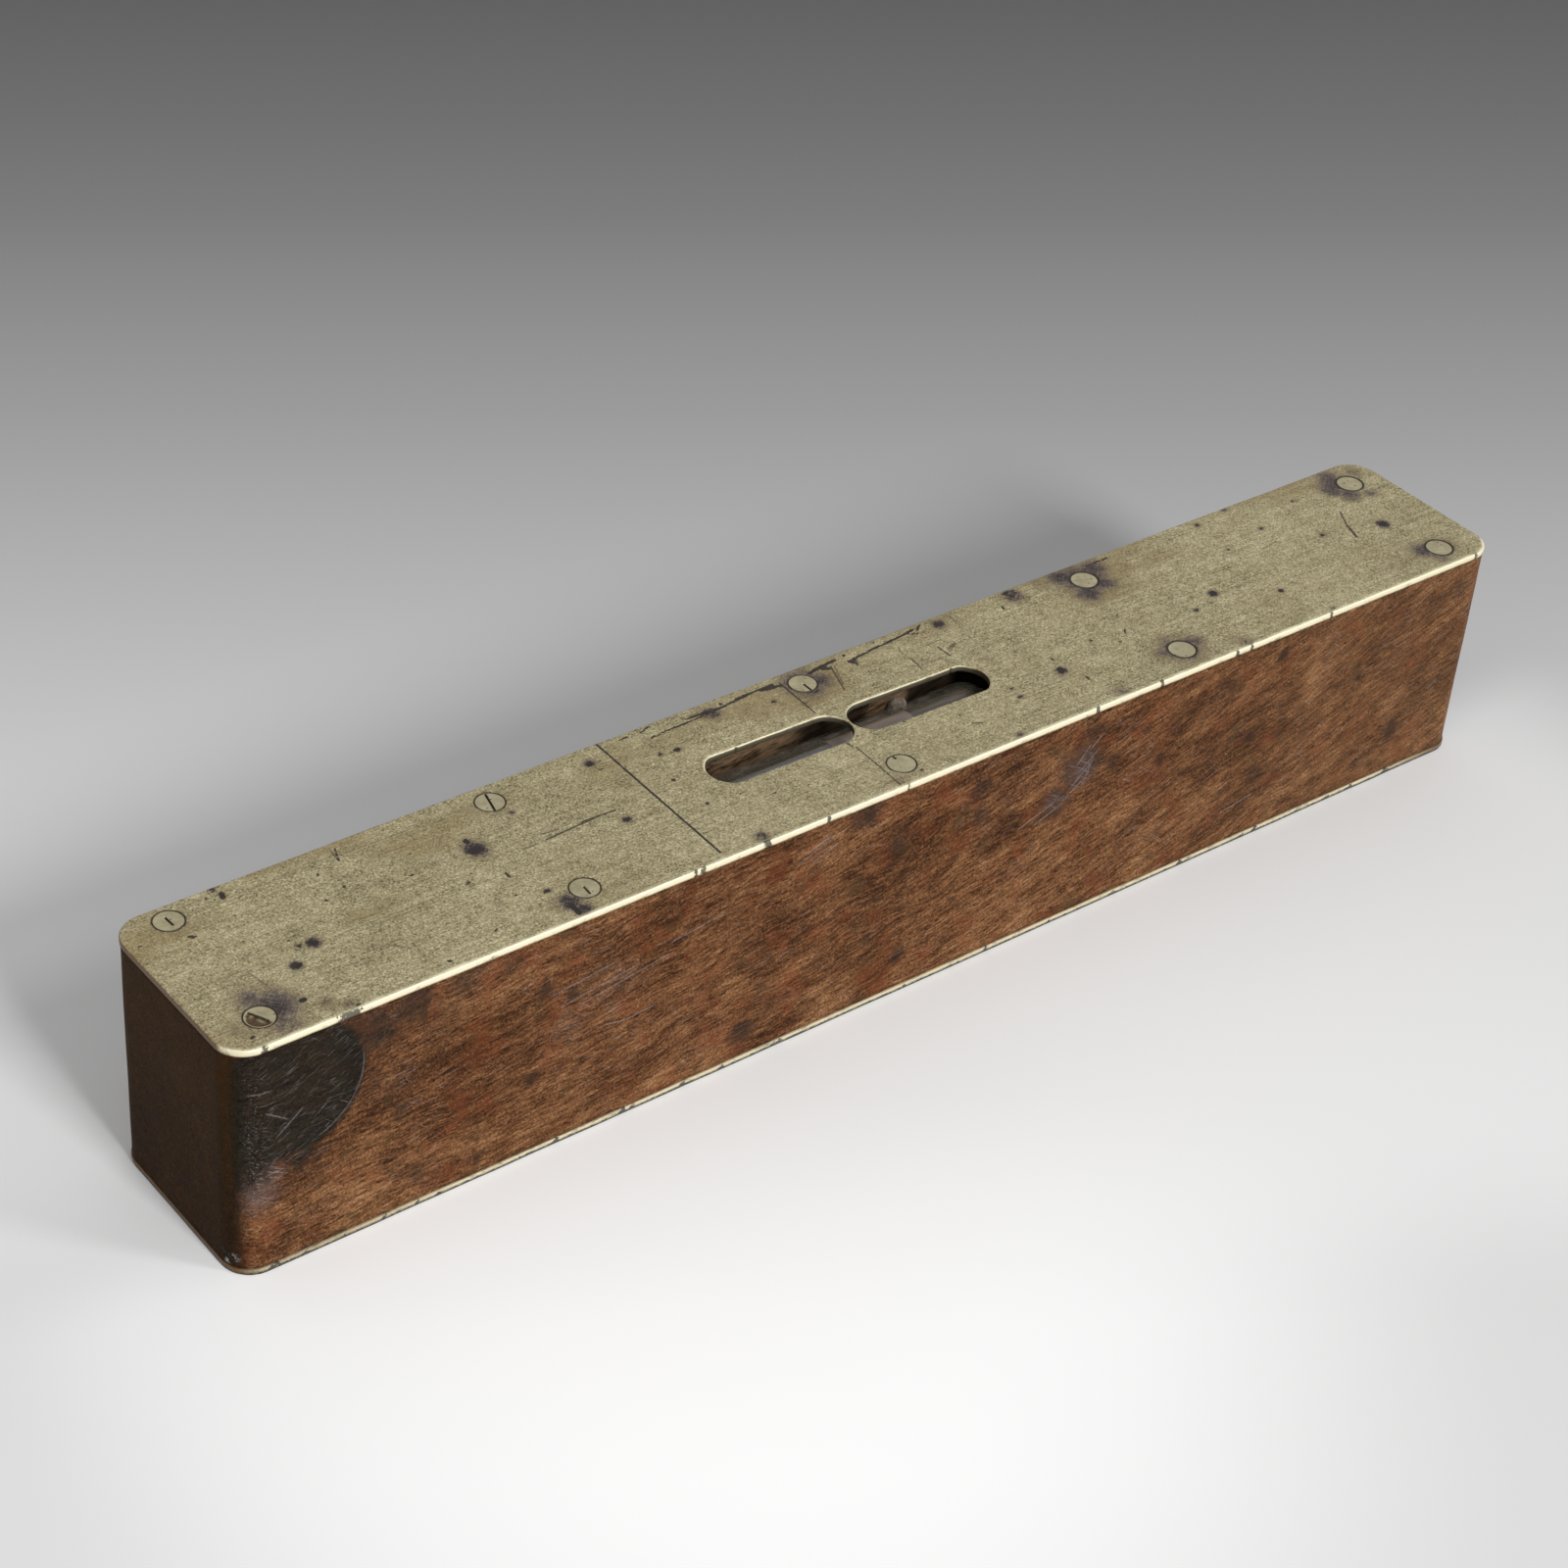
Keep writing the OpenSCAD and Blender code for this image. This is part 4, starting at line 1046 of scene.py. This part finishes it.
def capped(half, radius, capSteps, steps):
    # profile of a barrel with round ends: from the axis over a quarter circle, along it, and back to the axis
    cap = [(-half - radius * math.cos(a), radius * math.sin(a)) for a in np.linspace(0, math.pi / 2, capSteps)]
    return cap + [(x, radius) for x in np.linspace(-half, half, steps)[1:-1]] + [(-x, r) for x, r in cap[::-1]]


outerR = (glassHigh[2] - glassLow[2]) / 2
boreR = (spiritHigh[2] - spiritLow[2]) / 2
barrelHalf = (spiritHigh[0] - spiritLow[0]) / 2 - boreR
tubeEnd = -barrelHalf - outerR
nib = [(tubeEnd - vial["nibLength"], 0), (tubeEnd - vial["nibLength"] + 0.1, vial["nib"] * 0.6),
       (tubeEnd - 0.9, vial["nib"] * 0.9), (tubeEnd - 0.2, vial["nib"])]
tube = capped(barrelHalf, outerR, 14, 40)
tube = nib + [point for point in tube if point[1] > vial["nib"] * 1.15 or point[0] > 0]
bore = capped(barrelHalf, boreR, 12, 30)
outerVerts, outerFaces = barrel(tube, vial["steps"])
innerVerts, innerFaces = barrel(bore, vial["steps"])
glassVerts = np.vstack([outerVerts, innerVerts])
glassFaces = outerFaces + [[i + len(outerVerts) for i in face[::-1]] for face in innerFaces]


def glassLook():
    material, body, place = newMaterial("oldGlass", Roughness=0.1, IOR=1.5)
    dust = place.noise(3.5, 5, 0.65, stretch=(3, 1, 1)).between(0.4, 0.75)
    rim = place.node("LayerWeight", None, {"Blend": 0.3}, out=1)
    feed(body, Base_Color=dust.tint((120, 116, 100), (172, 164, 150)), Alpha=0.05 + rim * 0.12 + dust * 0.05,
         Roughness=0.08 + dust * 0.25)
    return material


def spiritLook():
    # painted refraction and reflection: the round tube is painted with what it would show of what lies under it, as
    # bands: dark olive, a painted highlight line along its far side and a cool lilac grey
    material, body, place = newMaterial("spiritPaintedView", Roughness=0.2, IOR=1.36)
    x, y, z = place.parts()
    drift = place.noise(5, 3, 0.5, stretch=(5, 1, 1))
    streak = place.noise(0.8, 3, 0.6, stretch=(12, 1, 1))
    share = (y - windowMiddle[1] + (drift - 0.5) * 1.6 + 6) / 12
    cool = share.bands((0.15, (112, 110, 120)), (0.45, (134, 128, 136)), (0.53, (104, 98, 92)), (0.6, (44, 40, 22)),
                       (0.74, (70, 62, 36)), (0.8, (96, 88, 62)), (0.86, (176, 164, 132)))
    warm = share.bands((0.15, (96, 86, 80)), (0.5, (112, 100, 96)), (0.6, (66, 56, 34)), (0.76, (58, 48, 28)),
                       (0.86, (112, 98, 70)))
    colour = x.between(6, 12).tint(cool, warm)
    # painted shade towards the vial's right end
    colour = (x.between(20, 26) * 0.7).tint(colour, (72, 40, 24))
    colour = (streak.between(0.5, 0.7) * 0.25).tint(colour, (168, 160, 150))
    colour = (streak.between(0.48, 0.34) * 0.35).tint(colour, (40, 36, 26))
    feed(body, Base_Color=colour)
    return material


def bubbleLook():
    material, body, place = newMaterial("clearBubble", Roughness=0.15, IOR=1.1)
    x, y, z = place.parts()
    cloud = place.noise(3, 3, 0.5, stretch=(3, 1, 1))
    # painted reflection makes the bubble pale pink, and its far side is painted with the brown of the wood seen through
    # it
    far = (y - windowMiddle[1] + (cloud - 0.5) * 2).between(0.2, 2.6)
    colour = cloud.between(0.35, 0.65).tint((158, 144, 136), (196, 182, 172))
    colour = (far * 0.85).tint(colour, (120, 86, 54))
    rim = place.node("LayerWeight", None, {"Blend": 0.35}, out=1)
    feed(body, Base_Color=colour, Alpha=0.82 + rim * 0.18)
    return material


def plasterLook():
    material, body, place = newMaterial("dirtyPlaster", Roughness=0.9)
    lump = place.noise(2.6, 5, 0.65)
    grain = place.noise(0.5, 3, 0.6)
    colour = (lump * 0.9 + grain * 0.3 - 0.1).between(0.3, 0.8).tint((84, 72, 60), (170, 158, 142))
    colour = (place.noise(6, 4, 0.6, shift=(2, 9, 0)).between(0.5, 0.65) * 0.7).tint(colour, (60, 46, 34))
    feed(body, Base_Color=colour, Roughness=0.82 + grain * 0.15)
    emboss(body, lump * 0.8 + grain * 0.3, 0.35)
    return material


addPiece("vialGlass", glassVerts, glassFaces, glassLook(), "level", ["vial_glass"], sharp=60)
spiritProfile = [(x, max(r - 0.1, 0)) for x, r in bore]
verts, faces = barrel(spiritProfile, vial["steps"])
addPiece("spiritFill", verts, faces, spiritLook(), "level", ["spirit"], sharp=60)


def bubbleShape(rows=48, cols=40):
    # a lens of vapour under the crown of the bore: across it a circle a little inside the bore, along it a rounded
    # outline, thinner towards its ends, with the flat surface of the spirit under it
    length, depth = bubbleHigh[0] - bubbleLow[0], bubbleHigh[2] - bubbleLow[2]
    crown = boreR - 0.05
    chord = math.sqrt(crown ** 2 - (crown - depth) ** 2)
    u = np.linspace(-1, 1, rows)[:, None]
    v = np.linspace(-1, 1, cols)[None, :]
    end = np.clip((np.abs(u) * length / 2 - (length / 2 - chord)) / chord, 0, 1)
    width = chord * np.sqrt(np.maximum(1 - end ** 2, 0.0004))
    y = width * np.sin(v * math.pi / 2)
    x = u * length / 2 + 0 * v
    top = np.sqrt(crown ** 2 - y ** 2) - 0.02 - 0.5 * end ** 3
    foot = crown - depth
    edge = 1 - np.abs(v) ** 8
    upper = foot + (top - foot) * edge
    lower = foot + 0 * y + 0.35 * np.abs(v) ** 6
    middle = [(bubbleLow[0] + bubbleHigh[0]) / 2, windowMiddle[1], vialHeight]
    points = np.stack([np.stack([x, y, np.maximum(upper, lower)], -1), np.stack([x, y, lower], -1)])
    return points.reshape(-1, 3) + middle, closedPair(rows, cols)


verts, faces = bubbleShape()
addPiece("bubbleCap", verts, faces, bubbleLook(), "bubble", ["bubble"], sharp=70)


bed = {"dabX": 13.05, "dabR": 2.0, "trough": 0.05, "topRise": 0.6, "troughPast": 5}


def plasterShape(rows=220, cols=56):
    # the bed's top is a height over a grid of chords across the mortise: level but rough, with the vial's trough
    # pressed into it and a dab against the far wall; a skirt and a floor close it
    length, width = (bedHigh - bedLow)[:2]
    levelTop = vialHeight + bed["topRise"]
    u = np.linspace(-1, 1, rows)[:, None]
    x = u * length / 2
    endX = np.clip(np.abs(x) - (length - width) / 2, 0, None)
    half = np.sqrt(np.maximum((width / 2) ** 2 - endX ** 2, 0.01))
    v = np.sin(np.linspace(-math.pi / 2, math.pi / 2, cols))[None, :]
    y = half * v
    x = x + 0 * v
    rough = 0.35 * softNoise(x, y, 2, 2.4) + 0.15 * softNoise(x, y, 8, 0.8)
    z = levelTop - 0.3 + rough
    trough = outerR + bed["trough"]
    deep = np.sqrt(np.maximum(trough ** 2 - y ** 2, 0))
    inTrough = (np.abs(y) < trough) & (np.abs(x) < barrelHalf + bed["troughPast"])
    z = np.where(inTrough, np.minimum(z, vialHeight - deep), z)
    dabX, dabY = bed["dabX"] - windowMiddle[0], width / 2 - 0.7
    away = np.hypot((x - dabX) * 0.9, y - dabY)
    dabTop = levelTop + 0.8 + np.sqrt(np.maximum(bed["dabR"] ** 2 - away ** 2, 0)) + 0.3 * rough
    z = np.where(away < bed["dabR"], np.maximum(z, dabTop), z)
    z = np.minimum(z, bedHigh[2] - 0.02)
    points = np.stack([np.stack([x, y, z], -1), np.stack([x, y, np.full_like(x, bedLow[2])], -1)])
    return points.reshape(-1, 3) + [windowMiddle[0], windowMiddle[1], 0], closedPair(rows, cols)


verts, faces = plasterShape()
addPiece("plasterBed", verts, faces, plasterLook(), "level", ["plaster_bed"])
print("vial done")


# Broad window light from the front and a weaker one from the right. The floor's painted tones fan out from fanX, fanY,
# and viewX, viewY is the way the floor's painted shade darkens it.
stage = {"worldLevel": 0.5, "reach": 4.0, "fanX": 5331, "fanY": 3427, "viewX": 0.564, "viewY": 0.826,
         "key": {"from": (0.02, -0.866, 0.5), "strength": 2.45, "angle": 14},
         "side": {"from": (0.5, -0.6, 0.6), "strength": 0.6, "angle": 10}}


def floorLook():
    # a grey sweep with painted shade that darkens it away from the viewer; its tones fan out slowly from a point far
    # off to the left, and its near corners get a little painted shade. What it throws on the object is a plain grey.
    material, body, place = newMaterial("studioFloor", Roughness=1.0, Specular_IOR_Level=0.0)
    x, y, z = place.parts()
    fan = 0 - (y - stage["fanY"]) / (x + stage["fanX"])
    steps = [(0.53, 84), (0.548, 100), (0.562, 111), (0.575, 124), (0.598, 155), (0.617, 181), (0.634, 203),
             (0.648, 223), (0.6545, 230), (0.661, 242), (0.668, 251), (0.676, 254)]
    low, high = steps[0][0], steps[-1][0]
    stops = [((at - low) / (high - low), (level, level, level)) for at, level in steps]
    tones = ((fan - low) / (high - low)).bands(*stops)
    sideways = (x * stage["viewY"] - y * stage["viewX"]) + 24
    nearing = 0 - (x * stage["viewX"] + y * stage["viewY"])
    ahead = (nearing - 20).atLeast(0.0)
    corner = ((sideways * sideways) / 15600 + ahead * ahead / 60000) ** 0.5
    # painted shade in the floor's near corners
    tones = (corner.between(0.45, 1.2) * fan.between(0.652, 0.668) * 0.55).tint(tones, (190, 190, 190))
    # painted light in front of the object, lifting the shade it casts there
    lift = (0 - y).between(150, 20) * (0 - y).between(0, 20) * (x * x).between(42000, 22000)
    tones = (lift * 0.4).tint(tones, (255, 255, 255))
    rays = tones.node("LightPath")
    seen = [Wire(tones.tree, rays.socket.node.outputs[kind])
            for kind in ("Is Camera Ray", "Is Glossy Ray", "Is Transmission Ray")]
    feed(body, Base_Color=(seen[0] + seen[1] + seen[2]).clamp().tint((120, 120, 120), tones))
    return material


reach = stage["reach"]
corners = [(-reach, -reach, 0), (reach, -reach, 0), (reach, reach, 0), (-reach, reach, 0)]
floorMesh = bpy.data.meshes.new("floor")
floorMesh.from_pydata(corners, [], [(0, 1, 2, 3)])
floorMesh.materials.append(floorLook())
floor = bpy.data.objects.new("floor", floorMesh)
link(floor)

world = bpy.data.worlds.new("softRoom")
world.use_nodes = True
world.node_tree.nodes["Background"].inputs[0].default_value = (1, 1, 1, 1)
world.node_tree.nodes["Background"].inputs[1].default_value = stage["worldLevel"]
bpy.context.scene.world = world

for name in ("key", "side"):
    lamp = bpy.data.lights.new(name + "Light", "SUN")
    lamp.energy, lamp.angle = stage[name]["strength"], math.radians(stage[name]["angle"])
    holder = bpy.data.objects.new(name + "Light", lamp)
    holder.location = stage[name]["from"]
    holder.rotation_mode = "QUATERNION"
    holder.rotation_quaternion = Vector(stage[name]["from"]).to_track_quat("Z", "Y")
    link(holder)

eye = {"place": (-362.43, -401.78, 421.33), "turn": (54.2545, -3.8428, -37.6177), "lens": 78.68}
camera = bpy.data.cameras.new("camera")
camera.lens, camera.sensor_width, camera.sensor_fit = eye["lens"], 36, "HORIZONTAL"
camera.clip_start, camera.clip_end = 0.01, 20
viewer = bpy.data.objects.new("camera", camera)
viewer.location = [v * mm for v in eye["place"]]
viewer.rotation_euler = [math.radians(v) for v in eye["turn"]]
link(viewer)
bpy.context.scene.camera = viewer
bpy.context.scene.view_settings.view_transform = "Standard"
print("stage set")
